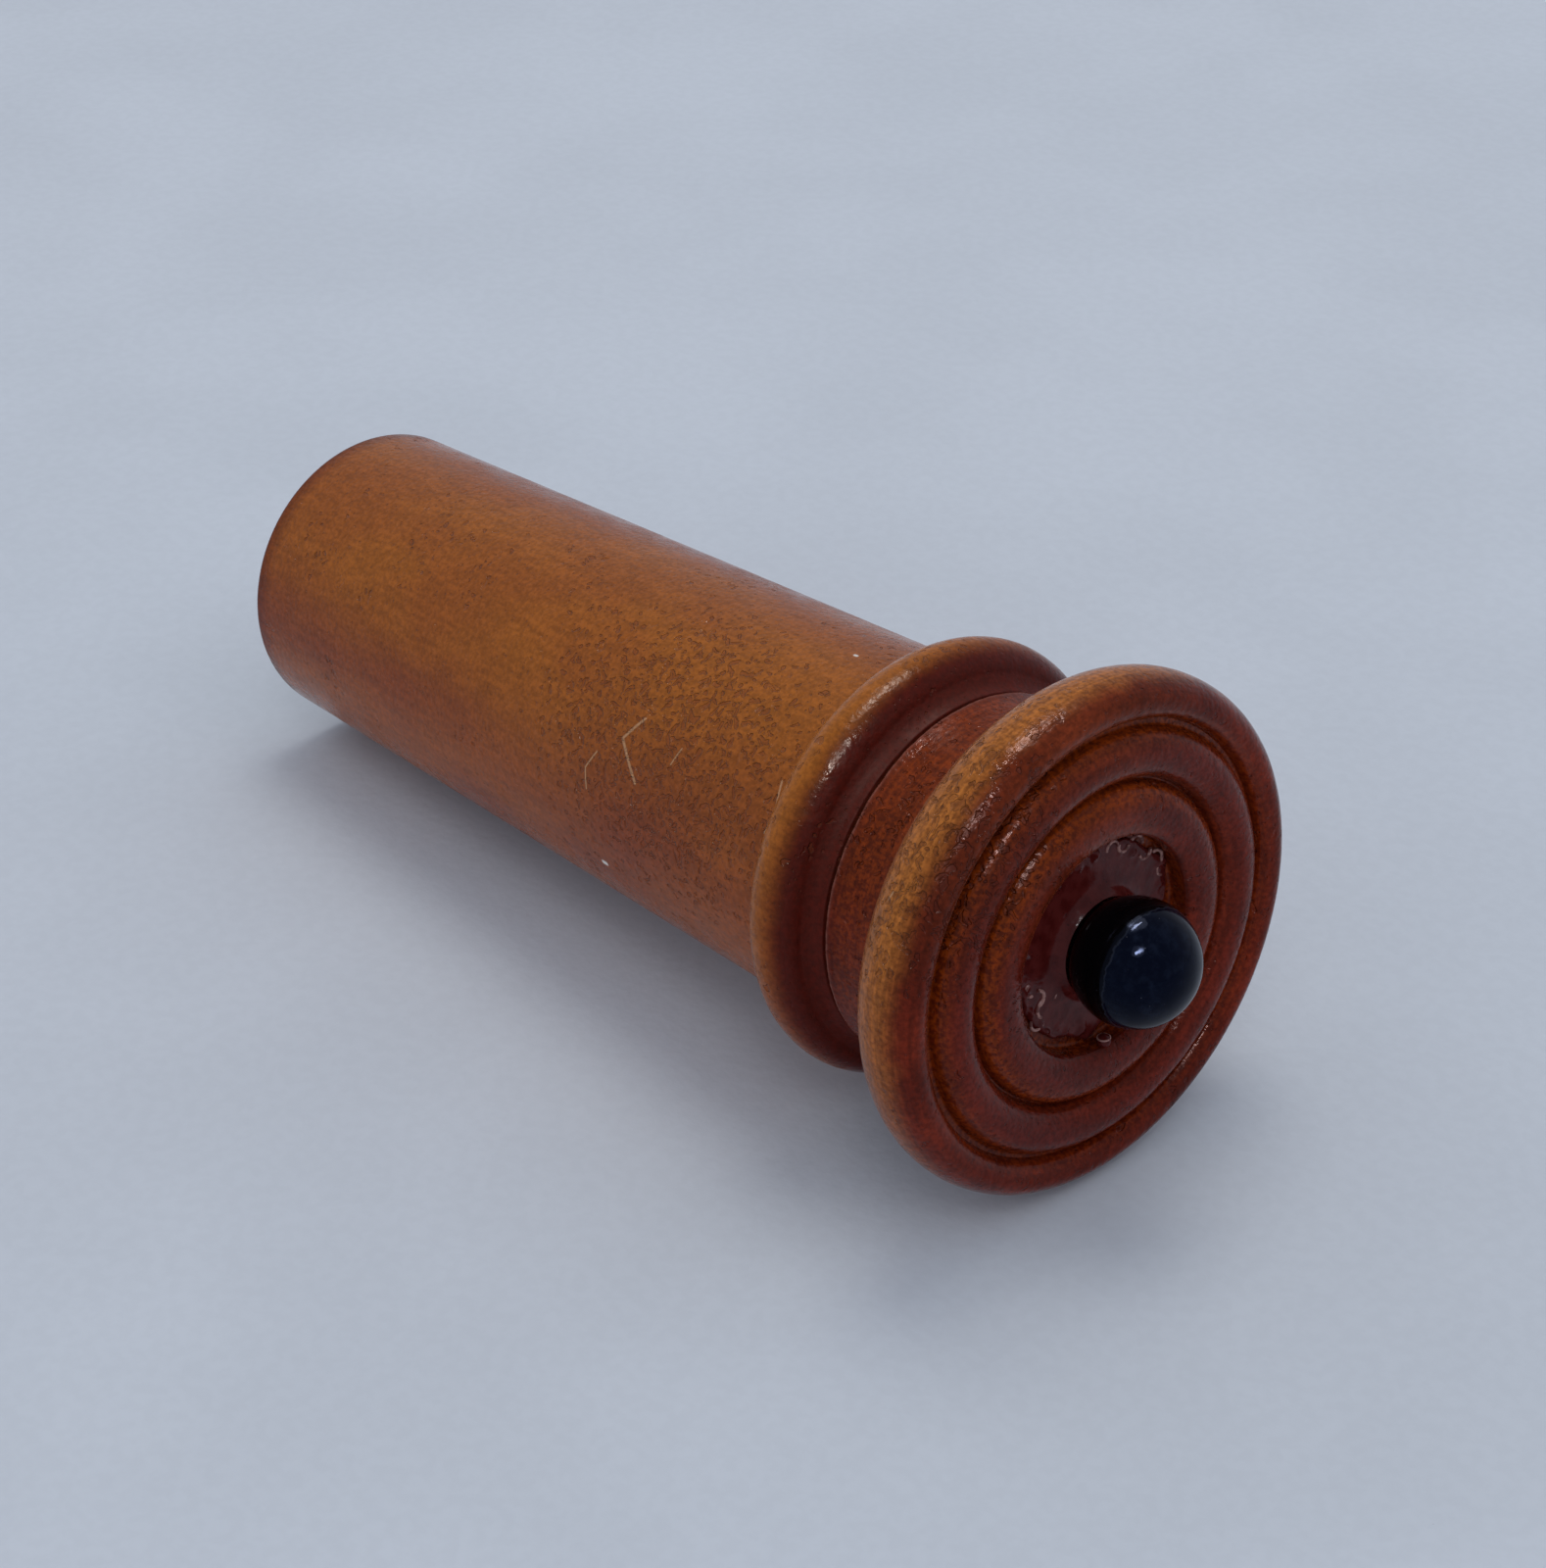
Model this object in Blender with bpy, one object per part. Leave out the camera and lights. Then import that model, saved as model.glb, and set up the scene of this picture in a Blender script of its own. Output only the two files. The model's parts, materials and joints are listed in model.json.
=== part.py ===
"""Turned wooden kaleidoscope with a glass ball lens, lying on its side.

The toy is built about its own long axis (local +Z runs from the eye end to the
lens end) and is then laid down so that the rim of the eye end and the rim of
the wide lens flange both touch the ground plane.
"""

import math

import bmesh
import bpy
from mathutils import Matrix, Vector

MM = 0.001
TURN_STEPS = 48
SMALL_STEPS = 40

# barrel, outside
BARREL_END_RADIUS = 13.2 * MM
BARREL_FRONT_RADIUS = 15.0 * MM
BARREL_LENGTH = 76.6 * MM
BARREL_END_ROUND = 0.5 * MM
GRIP_BEAD_RADIUS = 2.5 * MM
GRIP_BEAD_CENTRE_R = 15.5 * MM
GRIP_BEAD_CENTRE_Z = 72.8 * MM

# barrel, inside
BORE_RADIUS = 9.9 * MM
EYE_SEAT_RADIUS = 11.1 * MM
EYE_SEAT_DEPTH = 3.5 * MM
SOCKET_RADIUS = 12.5 * MM
SOCKET_BOTTOM_Z = 62.5 * MM

# head
HEAD_SEAM_GAP = 0.3 * MM
NECK_RADIUS = 15.0 * MM
NECK_WAIST_RADIUS = 14.6 * MM
FLANGE_RADIUS = 21.0 * MM
FLANGE_Z = 88.6 * MM
FLANGE_BACK_LENGTH = 4.0 * MM
FLANGE_BACK_DROP = 3.55 * MM
FLANGE_FRONT_LENGTH = 2.85 * MM
FLANGE_FRONT_DROP = 1.8 * MM
OUTER_CREASE_R = 17.7 * MM
OUTER_CREASE_Z = 90.1 * MM
RING_CENTRE_R = 15.15 * MM
RING_HALF_WIDTH = 1.95 * MM
RING_BASE_Z = 90.2 * MM
RING_HEIGHT = 1.75 * MM
INNER_CREASE_R = 12.9 * MM
INNER_CREASE_Z = 90.3 * MM
DISH_CREST_R = 10.8 * MM
DISH_CREST_Z = 92.0 * MM
RECESS_RADIUS = 8.85 * MM
RECESS_LIP_Z = 91.4 * MM
RECESS_FLOOR_Z = 89.7 * MM
LENS_HOLE_RADIUS = 2.1 * MM
HEAD_BORE_END_Z = 85.5 * MM
TENON_RADIUS = 12.2 * MM
TENON_BACK_Z = 63.0 * MM

# friction band and retaining ring
BAND_Z0 = 65.5 * MM
BAND_Z1 = 70.5 * MM
BAND_GROOVE_RADIUS = 11.3 * MM
CLIP_Z = 73.5 * MM
CLIP_RADIUS = 12.35 * MM
CLIP_WIRE_RADIUS = 0.6 * MM
CLIP_GROOVE_HALF = 0.9 * MM
CLIP_GROOVE_DEPTH = 0.7 * MM
CLIP_OPENING = math.radians(24.0)

# lens
BALL_RADIUS = 5.0 * MM
BALL_Z = 94.4 * MM

# mirror cartridge
CARTRIDGE_Z0 = 3.8 * MM
CARTRIDGE_Z1 = 83.6 * MM
CARTRIDGE_OUTER = 9.6 * MM
CARTRIDGE_INNER = 9.0 * MM
PRISM_SIDE = 14.0 * MM
MIRROR_WIDTH = 13.6 * MM
MIRROR_THICKNESS = 1.1 * MM
MIRROR_END_GAP = 0.4 * MM
BAFFLE_THICKNESS = 0.8 * MM
BAFFLE_RADIUS = 9.5 * MM
BAFFLE_HOLE_RADIUS = 3.6 * MM

# eyepiece
EYE_DISC_RADIUS = 10.8 * MM
EYE_DISC_Z0 = 0.3 * MM
EYE_DISC_THICKNESS = 1.6 * MM
EYE_HOLE_RADIUS = 3.0 * MM
EYE_WINDOW_THICKNESS = 1.0 * MM
FIT_GAP = 0.3 * MM


def ellipse_arc(centre_r, centre_z, half_r, half_z, start_deg, end_deg, count):
    """Points of an elliptical arc in the (radius, height) half plane.

    Zero degrees points away from the axis and ninety degrees points to +Z.
    """
    points = []
    for index in range(count + 1):
        angle = math.radians(start_deg + (end_deg - start_deg) * index / count)
        radius = centre_r + half_r * math.cos(angle)
        height = centre_z + half_z * math.sin(angle)
        points.append((radius, height))
    return points


def make_material(name, colour, roughness, metallic=0.0):
    """A plain Principled material for one sub-part."""
    material = bpy.data.materials.new(name)
    material.use_nodes = True
    shader = material.node_tree.nodes["Principled BSDF"]
    shader.inputs["Base Color"].default_value = (*colour, 1.0)
    shader.inputs["Roughness"].default_value = roughness
    shader.inputs["Metallic"].default_value = metallic
    material.diffuse_color = (*colour, 1.0)
    return material


def add_object(name, mesh_builder, material):
    """Turn a finished bmesh into a named object."""
    mesh = bpy.data.meshes.new(name)
    bmesh.ops.remove_doubles(mesh_builder, verts=mesh_builder.verts[:], dist=1e-7)
    bmesh.ops.recalc_face_normals(mesh_builder, faces=mesh_builder.faces[:])
    mesh_builder.to_mesh(mesh)
    mesh_builder.free()
    mesh.materials.append(material)
    item = bpy.data.objects.new(name, mesh)
    bpy.context.scene.collection.objects.link(item)
    return item


def turned(name, section, steps, material):
    """Spin a closed section of (radius, height) points about the long axis."""
    builder = bmesh.new()
    verts = [builder.verts.new((radius, 0.0, height)) for radius, height in section]
    edges = []
    for index, vert in enumerate(verts):
        edges.append(builder.edges.new((vert, verts[(index + 1) % len(verts)])))
    bmesh.ops.spin(
        builder,
        geom=verts + edges,
        cent=(0.0, 0.0, 0.0),
        axis=(0.0, 0.0, 1.0),
        angle=math.tau,
        steps=steps,
        use_merge=True,
    )
    half_step = Matrix.Rotation(math.pi / steps, 3, "Z")
    bmesh.ops.rotate(builder, cent=(0.0, 0.0, 0.0), matrix=half_step, verts=builder.verts[:])
    return add_object(name, builder, material)


def plain_ring(name, inner, outer, bottom, top, steps, material):
    """A square-cut ring or tube."""
    section = [(inner, bottom), (outer, bottom), (outer, top), (inner, top)]
    return turned(name, section, steps, material)


def barrel_section():
    """Closed half section of the barrel with its grip bead, bore and socket."""
    section = [(EYE_SEAT_RADIUS, 0.0)]
    section += ellipse_arc(
        BARREL_END_RADIUS - BARREL_END_ROUND,
        BARREL_END_ROUND,
        BARREL_END_ROUND,
        BARREL_END_ROUND,
        -90.0,
        0.0,
        4,
    )
    rise = GRIP_BEAD_CENTRE_R - BARREL_FRONT_RADIUS
    meet = math.degrees(math.acos(-rise / GRIP_BEAD_RADIUS))
    section += ellipse_arc(
        GRIP_BEAD_CENTRE_R,
        GRIP_BEAD_CENTRE_Z,
        GRIP_BEAD_RADIUS,
        GRIP_BEAD_RADIUS,
        -meet,
        78.0,
        13,
    )
    section += [
        (BARREL_FRONT_RADIUS + 0.48 * MM, BARREL_LENGTH - 1.0 * MM),
        (BARREL_FRONT_RADIUS + 0.15 * MM, BARREL_LENGTH - 0.6 * MM),
        (BARREL_FRONT_RADIUS, BARREL_LENGTH - 0.1 * MM),
        (BARREL_FRONT_RADIUS - 0.12 * MM, BARREL_LENGTH),
        (SOCKET_RADIUS, BARREL_LENGTH),
        (SOCKET_RADIUS, CLIP_Z + CLIP_GROOVE_HALF),
        (SOCKET_RADIUS + CLIP_GROOVE_DEPTH, CLIP_Z + CLIP_GROOVE_HALF),
        (SOCKET_RADIUS + CLIP_GROOVE_DEPTH, CLIP_Z - CLIP_GROOVE_HALF),
        (SOCKET_RADIUS, CLIP_Z - CLIP_GROOVE_HALF),
        (SOCKET_RADIUS, SOCKET_BOTTOM_Z),
        (BORE_RADIUS, SOCKET_BOTTOM_Z),
        (BORE_RADIUS, EYE_SEAT_DEPTH),
        (EYE_SEAT_RADIUS, EYE_SEAT_DEPTH),
    ]
    return section


def head_section():
    """Closed half section of the head: tenon, neck, flange rings and recess."""
    seam = BARREL_LENGTH + HEAD_SEAM_GAP
    neck = [
        (TENON_RADIUS, seam),
        (NECK_RADIUS - 0.25 * MM, seam),
        (NECK_RADIUS + 0.05 * MM, seam + 0.2 * MM),
        (NECK_RADIUS - 0.1 * MM, seam + 1.0 * MM),
        (NECK_WAIST_RADIUS + 0.1 * MM, seam + 2.4 * MM),
        (NECK_WAIST_RADIUS, seam + 4.2 * MM),
        (NECK_WAIST_RADIUS + 0.2 * MM, seam + 5.8 * MM),
        (NECK_WAIST_RADIUS + 0.75 * MM, seam + 6.9 * MM),
        (NECK_WAIST_RADIUS + 1.7 * MM, seam + 7.5 * MM),
    ]
    flange_back = ellipse_arc(
        FLANGE_RADIUS - FLANGE_BACK_DROP,
        FLANGE_Z,
        FLANGE_BACK_DROP,
        FLANGE_BACK_LENGTH,
        -90.0,
        0.0,
        8,
    )
    flange_front = ellipse_arc(
        FLANGE_RADIUS - FLANGE_FRONT_DROP,
        FLANGE_Z,
        FLANGE_FRONT_DROP,
        FLANGE_FRONT_LENGTH,
        0.0,
        90.0,
        7,
    )[1:]
    flange_inside = ellipse_arc(
        FLANGE_RADIUS - FLANGE_FRONT_DROP,
        OUTER_CREASE_Z,
        FLANGE_RADIUS - FLANGE_FRONT_DROP - OUTER_CREASE_R,
        FLANGE_Z + FLANGE_FRONT_LENGTH - OUTER_CREASE_Z,
        90.0,
        180.0,
        4,
    )[1:]
    middle_ring = ellipse_arc(
        RING_CENTRE_R,
        RING_BASE_Z,
        RING_HALF_WIDTH,
        RING_HEIGHT,
        4.0,
        176.0,
        8,
    )
    dish_outer = ellipse_arc(
        DISH_CREST_R,
        INNER_CREASE_Z,
        INNER_CREASE_R - DISH_CREST_R,
        DISH_CREST_Z - INNER_CREASE_Z,
        0.0,
        90.0,
        5,
    )
    dish_inner = [
        (DISH_CREST_R - 0.7 * MM, DISH_CREST_Z - 0.04 * MM),
        (DISH_CREST_R - 1.3 * MM, DISH_CREST_Z - 0.19 * MM),
        (RECESS_RADIUS + 0.22 * MM, RECESS_LIP_Z + 0.2 * MM),
        (RECESS_RADIUS, RECESS_LIP_Z - 0.1 * MM),
    ]
    recess = [
        (RECESS_RADIUS - 0.05 * MM, RECESS_FLOOR_Z + 0.35 * MM),
        (RECESS_RADIUS - 0.35 * MM, RECESS_FLOOR_Z),
        (LENS_HOLE_RADIUS, RECESS_FLOOR_Z),
        (LENS_HOLE_RADIUS, HEAD_BORE_END_Z),
        (BORE_RADIUS, HEAD_BORE_END_Z),
    ]
    tenon = [
        (BORE_RADIUS, TENON_BACK_Z),
        (TENON_RADIUS - 0.4 * MM, TENON_BACK_Z),
        (TENON_RADIUS, TENON_BACK_Z + 0.4 * MM),
        (TENON_RADIUS, BAND_Z0),
        (BAND_GROOVE_RADIUS, BAND_Z0),
        (BAND_GROOVE_RADIUS, BAND_Z1),
        (TENON_RADIUS, BAND_Z1),
        (TENON_RADIUS, CLIP_Z - CLIP_GROOVE_HALF),
        (TENON_RADIUS - CLIP_GROOVE_DEPTH, CLIP_Z - CLIP_GROOVE_HALF),
        (TENON_RADIUS - CLIP_GROOVE_DEPTH, CLIP_Z + CLIP_GROOVE_HALF),
        (TENON_RADIUS, CLIP_Z + CLIP_GROOVE_HALF),
    ]
    return (
        neck
        + flange_back
        + flange_front
        + flange_inside
        + middle_ring
        + dish_outer
        + dish_inner
        + recess
        + tenon
    )


def glue_section():
    """Closed half section of the clear glue fillet around the foot of the ball."""
    floor = RECESS_FLOOR_Z + 0.15 * MM
    return [
        (2.45 * MM, floor),
        (7.85 * MM, floor),
        (7.95 * MM, floor + 0.12 * MM),
        (7.6 * MM, floor + 0.32 * MM),
        (5.4 * MM, floor + 0.38 * MM),
        (4.5 * MM, floor + 0.66 * MM),
        (4.05 * MM, floor + 1.1 * MM),
        (3.82 * MM, floor + 1.1 * MM),
        (3.2 * MM, floor + 0.45 * MM),
    ]


def ball(name, radius, height, material):
    """Solid glass ball on the long axis."""
    builder = bmesh.new()
    bmesh.ops.create_uvsphere(builder, u_segments=28, v_segments=16, radius=radius)
    bmesh.ops.translate(builder, vec=(0.0, 0.0, height), verts=builder.verts[:])
    return add_object(name, builder, material)


def disc(name, radius, bottom, thickness, material):
    """Solid flat disc on the long axis."""
    builder = bmesh.new()
    bmesh.ops.create_cone(
        builder,
        cap_ends=True,
        cap_tris=False,
        segments=SMALL_STEPS,
        radius1=radius,
        radius2=radius,
        depth=thickness,
    )
    centre = bottom + 0.5 * thickness
    bmesh.ops.translate(builder, vec=(0.0, 0.0, centre), verts=builder.verts[:])
    return add_object(name, builder, material)


def mirror_strip(name, turn, material):
    """One of three flat mirrors that form the triangular prism."""
    length = CARTRIDGE_Z1 - CARTRIDGE_Z0 - 2.0 * MIRROR_END_GAP
    inner_distance = PRISM_SIDE / (2.0 * math.sqrt(3.0))
    builder = bmesh.new()
    bmesh.ops.create_cube(builder, size=1.0)
    size = Vector((MIRROR_THICKNESS, MIRROR_WIDTH, length))
    bmesh.ops.scale(builder, vec=size, verts=builder.verts[:])
    offset = Vector((
        inner_distance + 0.5 * MIRROR_THICKNESS,
        0.0,
        0.5 * (CARTRIDGE_Z0 + CARTRIDGE_Z1),
    ))
    bmesh.ops.translate(builder, vec=offset, verts=builder.verts[:])
    spin = Matrix.Rotation(turn, 3, "Z")
    bmesh.ops.rotate(builder, cent=(0.0, 0.0, 0.0), matrix=spin, verts=builder.verts[:])
    return add_object(name, builder, material)


def wire_clip(name, material):
    """Split spring-wire ring that keeps the head on the barrel."""
    builder = bmesh.new()
    verts = []
    for index in range(8):
        angle = math.tau * index / 8
        radius = CLIP_RADIUS + CLIP_WIRE_RADIUS * math.cos(angle)
        height = CLIP_Z + CLIP_WIRE_RADIUS * math.sin(angle)
        verts.append(builder.verts.new((radius, 0.0, height)))
    start_cap = builder.faces.new(verts)
    swept = bmesh.ops.spin(
        builder,
        geom=[start_cap],
        cent=(0.0, 0.0, 0.0),
        axis=(0.0, 0.0, 1.0),
        angle=math.tau - CLIP_OPENING,
        steps=36,
    )
    end_faces = [item for item in swept["geom_last"] if isinstance(item, bmesh.types.BMFace)]
    if not end_faces:
        edges = [edge for edge in builder.edges if edge.is_boundary]
        bmesh.ops.holes_fill(builder, edges=edges, sides=8)
    return add_object(name, builder, material)


def build_parts():
    """Every separate piece, upright on its own long axis."""
    barrel_wood = make_material("barrel_wood", (0.30, 0.10, 0.035), 0.38)
    head_wood = make_material("head_wood", (0.24, 0.06, 0.022), 0.34)
    glass = make_material("ball_glass", (0.02, 0.03, 0.06), 0.05)
    resin = make_material("clear_glue", (0.45, 0.22, 0.12), 0.10)
    felt = make_material("felt", (0.05, 0.06, 0.05), 0.95)
    wire = make_material("spring_wire", (0.62, 0.62, 0.60), 0.30, 1.0)
    card = make_material("black_card", (0.02, 0.02, 0.02), 0.85)
    baffle_card = make_material("baffle_card", (0.03, 0.03, 0.03), 0.85)
    window = make_material("clear_window", (0.80, 0.85, 0.86), 0.06)
    disc_card = make_material("eye_disc_card", (0.04, 0.03, 0.03), 0.60)

    parts = [
        turned("barrel", barrel_section(), TURN_STEPS, barrel_wood),
        turned("head", head_section(), TURN_STEPS, head_wood),
        ball("ball_lens", BALL_RADIUS, BALL_Z, glass),
        turned("lens_glue", glue_section(), SMALL_STEPS, resin),
        plain_ring(
            "felt_band",
            BAND_GROOVE_RADIUS + 0.25 * MM,
            SOCKET_RADIUS - 0.2 * MM,
            BAND_Z0 + 0.25 * MM,
            BAND_Z1 - 0.25 * MM,
            SMALL_STEPS,
            felt,
        ),
        wire_clip("retaining_ring", wire),
        plain_ring(
            "mirror_tube",
            CARTRIDGE_INNER,
            CARTRIDGE_OUTER,
            CARTRIDGE_Z0,
            CARTRIDGE_Z1,
            SMALL_STEPS,
            card,
        ),
        plain_ring(
            "front_baffle",
            BAFFLE_HOLE_RADIUS,
            BAFFLE_RADIUS,
            CARTRIDGE_Z1 + FIT_GAP,
            CARTRIDGE_Z1 + FIT_GAP + BAFFLE_THICKNESS,
            SMALL_STEPS,
            baffle_card,
        ),
        plain_ring(
            "eye_disc",
            EYE_HOLE_RADIUS,
            EYE_DISC_RADIUS,
            EYE_DISC_Z0,
            EYE_DISC_Z0 + EYE_DISC_THICKNESS,
            SMALL_STEPS,
            disc_card,
        ),
        disc(
            "eye_window",
            EYE_DISC_RADIUS,
            EYE_DISC_Z0 + EYE_DISC_THICKNESS + FIT_GAP,
            EYE_WINDOW_THICKNESS,
            window,
        ),
    ]
    for index in range(3):
        silver = make_material(f"mirror_face_{index + 1}", (0.85, 0.86, 0.88), 0.04, 1.0)
        parts.append(mirror_strip(f"mirror_{index + 1}", math.tau * index / 3.0, silver))
    return parts


def lay_down(parts):
    """Rest the toy on the rim of its eye end and the rim of its flange."""
    flat = math.cos(math.pi / TURN_STEPS)
    back_radius = BARREL_END_RADIUS * flat
    front_radius = FLANGE_RADIUS * flat
    span = FLANGE_Z - BARREL_END_ROUND
    tilt = math.atan2(front_radius - back_radius, span)
    pose = bpy.data.objects.new("rest_pose", None)
    bpy.context.scene.collection.objects.link(pose)
    turn = Matrix.Rotation(math.pi / 2.0 - tilt, 4, "Y")
    spots = []
    for part in parts:
        part.parent = pose
        spots += [turn @ vert.co for vert in part.data.vertices]
    low = Vector([min(spot[axis] for spot in spots) for axis in range(3)])
    high = Vector([max(spot[axis] for spot in spots) for axis in range(3)])
    shift = (-0.5 * (low.x + high.x), -0.5 * (low.y + high.y), -low.z)
    pose.matrix_world = Matrix.Translation(shift) @ turn


def main():
    for item in list(bpy.data.objects):
        bpy.data.objects.remove(item, do_unlink=True)
    lay_down(build_parts())
    bpy.context.view_layer.update()


main()
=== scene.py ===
"""Turned wooden kaleidoscope with a glass ball lens, dressed for its portrait.

Every piece is turned or cut upright about its own long axis (local +Z runs from
the eye end to the lens end, in millimetres) and is then laid down on the table
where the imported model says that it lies.
"""

import json
import logging
import math
from dataclasses import dataclass, field
from enum import Enum

import bmesh
import bpy
from mathutils import Matrix, Vector, noise

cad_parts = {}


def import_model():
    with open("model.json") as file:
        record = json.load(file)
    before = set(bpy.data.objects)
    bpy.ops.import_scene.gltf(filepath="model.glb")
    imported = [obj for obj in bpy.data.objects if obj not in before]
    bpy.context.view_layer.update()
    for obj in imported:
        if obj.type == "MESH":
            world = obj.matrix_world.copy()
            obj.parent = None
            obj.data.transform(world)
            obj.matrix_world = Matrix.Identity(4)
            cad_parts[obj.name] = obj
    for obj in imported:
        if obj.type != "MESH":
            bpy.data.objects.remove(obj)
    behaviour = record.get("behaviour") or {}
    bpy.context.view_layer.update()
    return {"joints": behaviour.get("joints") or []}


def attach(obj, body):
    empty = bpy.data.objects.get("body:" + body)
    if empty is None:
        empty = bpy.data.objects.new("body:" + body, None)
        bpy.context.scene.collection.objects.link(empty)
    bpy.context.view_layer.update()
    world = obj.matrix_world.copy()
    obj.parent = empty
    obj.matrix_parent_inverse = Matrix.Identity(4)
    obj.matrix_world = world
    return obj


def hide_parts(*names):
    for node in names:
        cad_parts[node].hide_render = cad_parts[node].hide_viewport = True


logging.basicConfig(level=logging.INFO, format="%(message)s")
REPORT = logging.getLogger("kaleidoscope")

MM = 0.001
CAD_SIDES = 48
ROUND_FIT = 0.999 * math.cos(math.pi / CAD_SIDES)
SEAM_HEIGHT = 76.75
SMOOTH_LIMIT = math.radians(42.0)
CRISP_LIMIT = math.radians(25.0)
MERGE_GAP = 1e-4
ROD_SIDES = 10
# The angle of the side that lies up towards the lamps; that side is painted lighter (painted
# light) as well as given wear from handling.
RUB_AND_LIGHT_ANGLE = math.radians(-150.0)
ORIGIN = (0.0, 0.0, 0.0)
LONG_AXIS = (0.0, 0.0, 1.0)

Point = tuple[float, float]
Colour = tuple[float, float, float]


class Body(Enum):
    """The two bodies that turn against each other."""

    BARREL = "barrel_body"
    HEAD = "head_body"


class Slot(Enum):
    """The record's material slots."""

    BARREL_WOOD = "barrel_wood"
    HEAD_WOOD = "head_wood"
    BALL_GLASS = "ball_glass"
    CLEAR_GLUE = "clear_glue"
    FELT = "felt"
    SPRING_WIRE = "spring_wire"
    BLACK_CARD = "black_card"
    BAFFLE_CARD = "baffle_card"
    EYE_DISC_CARD = "eye_disc_card"
    CLEAR_WINDOW = "clear_window"
    MIRROR_1 = "mirror_face_1"
    MIRROR_2 = "mirror_face_2"
    MIRROR_3 = "mirror_face_3"


@dataclass(frozen=True)
class Placement:
    """Where the toy's long axis lies on the table, in metres."""

    origin: Vector
    tilt: float

    @classmethod
    def from_joint(cls, joint: dict) -> "Placement":
        """Find the long axis from the joint that the head turns on.

        Args:
            joint: The head's joint, with its point and its axis.

        Returns:
            The placement of the middle of the eye end and the axis' tilt.
        """
        axis = Vector(joint["axis"]).normalized()
        origin = Vector(joint["pos_m"]) - axis * SEAM_HEIGHT * MM
        return cls(origin, math.asin(axis.z))

    def turn(self) -> float:
        """The angle about world Y that lays the upright axis down."""
        return 0.5 * math.pi - self.tilt

    def matrix(self) -> Matrix:
        """The move from upright millimetres to the table's metres."""
        lay = Matrix.Translation(self.origin) @ Matrix.Rotation(self.turn(), 4, "Y")
        return lay @ Matrix.Diagonal((MM, MM, MM, 1.0))


def arc(
    centre: Point, half: Point, start: float, end: float, count: int
) -> list[Point]:
    """Points of an elliptical arc in the half plane of radius and height.

    Args:
        centre: Radius and height of the centre.
        half: Half sizes along radius and height.
        start: First angle in degrees; zero points away from the axis.
        end: Last angle in degrees; ninety points to +Z.
        count: Number of spans.

    Returns:
        The points from the first angle to the last.
    """
    points = []
    for index in range(count + 1):
        angle = math.radians(start + (end - start) * index / count)
        points.append(
            (centre[0] + half[0] * math.cos(angle), centre[1] + half[1] * math.sin(angle))
        )
    return points


def line(start: Point, end: Point, count: int) -> list[Point]:
    """Points of a straight cut, without its first point.

    Args:
        start: Where the cut starts.
        end: Where the cut ends.
        count: Number of spans.

    Returns:
        The points after the start, with the end.
    """
    return [
        (
            start[0] + (end[0] - start[0]) * index / count,
            start[1] + (end[1] - start[1]) * index / count,
        )
        for index in range(1, count + 1)
    ]


def flowing(points: list[Point], spans: int) -> list[Point]:
    """A smooth curve through a few points of a turned shape.

    Args:
        points: The points that the curve passes through.
        spans: Number of spans between two of them.

    Returns:
        The points of the curve.
    """
    held = [points[0], *points, points[-1]]
    curve = [points[0]]
    for first, second, third, fourth in zip(held, held[1:], held[2:], held[3:]):
        for index in range(1, spans + 1):
            t = index / spans
            curve.append(
                tuple(
                    0.5
                    * (
                        2.0 * b
                        + (c - a) * t
                        + (2.0 * a - 5.0 * b + 4.0 * c - d) * t * t
                        + (3.0 * b - a - 3.0 * c + d) * t**3
                    )
                    for a, b, c, d in zip(first, second, third, fourth)
                )
            )
    return curve


def bell(value: float, centre: float, width: float) -> float:
    """A soft bump from 0 to 1 about a centre."""
    return math.exp(-(((value - centre) / width) ** 2))


def step(value: float, low: float, high: float) -> float:
    """A smooth step from 0 to 1.

    Args:
        value: The number to map.
        low: Where the step starts.
        high: Where it ends.

    Returns:
        The share of the way.
    """
    share = min(1.0, max(0.0, (value - low) / (high - low)))
    return share * share * (3.0 - 2.0 * share)


def lit_side(place: Vector) -> float:
    """How much this side faces the lamps, the one that lies upwards and out; it weights the
    painted light, the painted shade and the painted highlights, and the wear from handling.

    Args:
        place: An upright point.

    Returns:
        A share from 0 to 1.
    """
    turn = math.atan2(place.y, place.x) - RUB_AND_LIGHT_ANGLE
    return (0.5 + 0.5 * math.cos(turn)) ** 2


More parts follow.
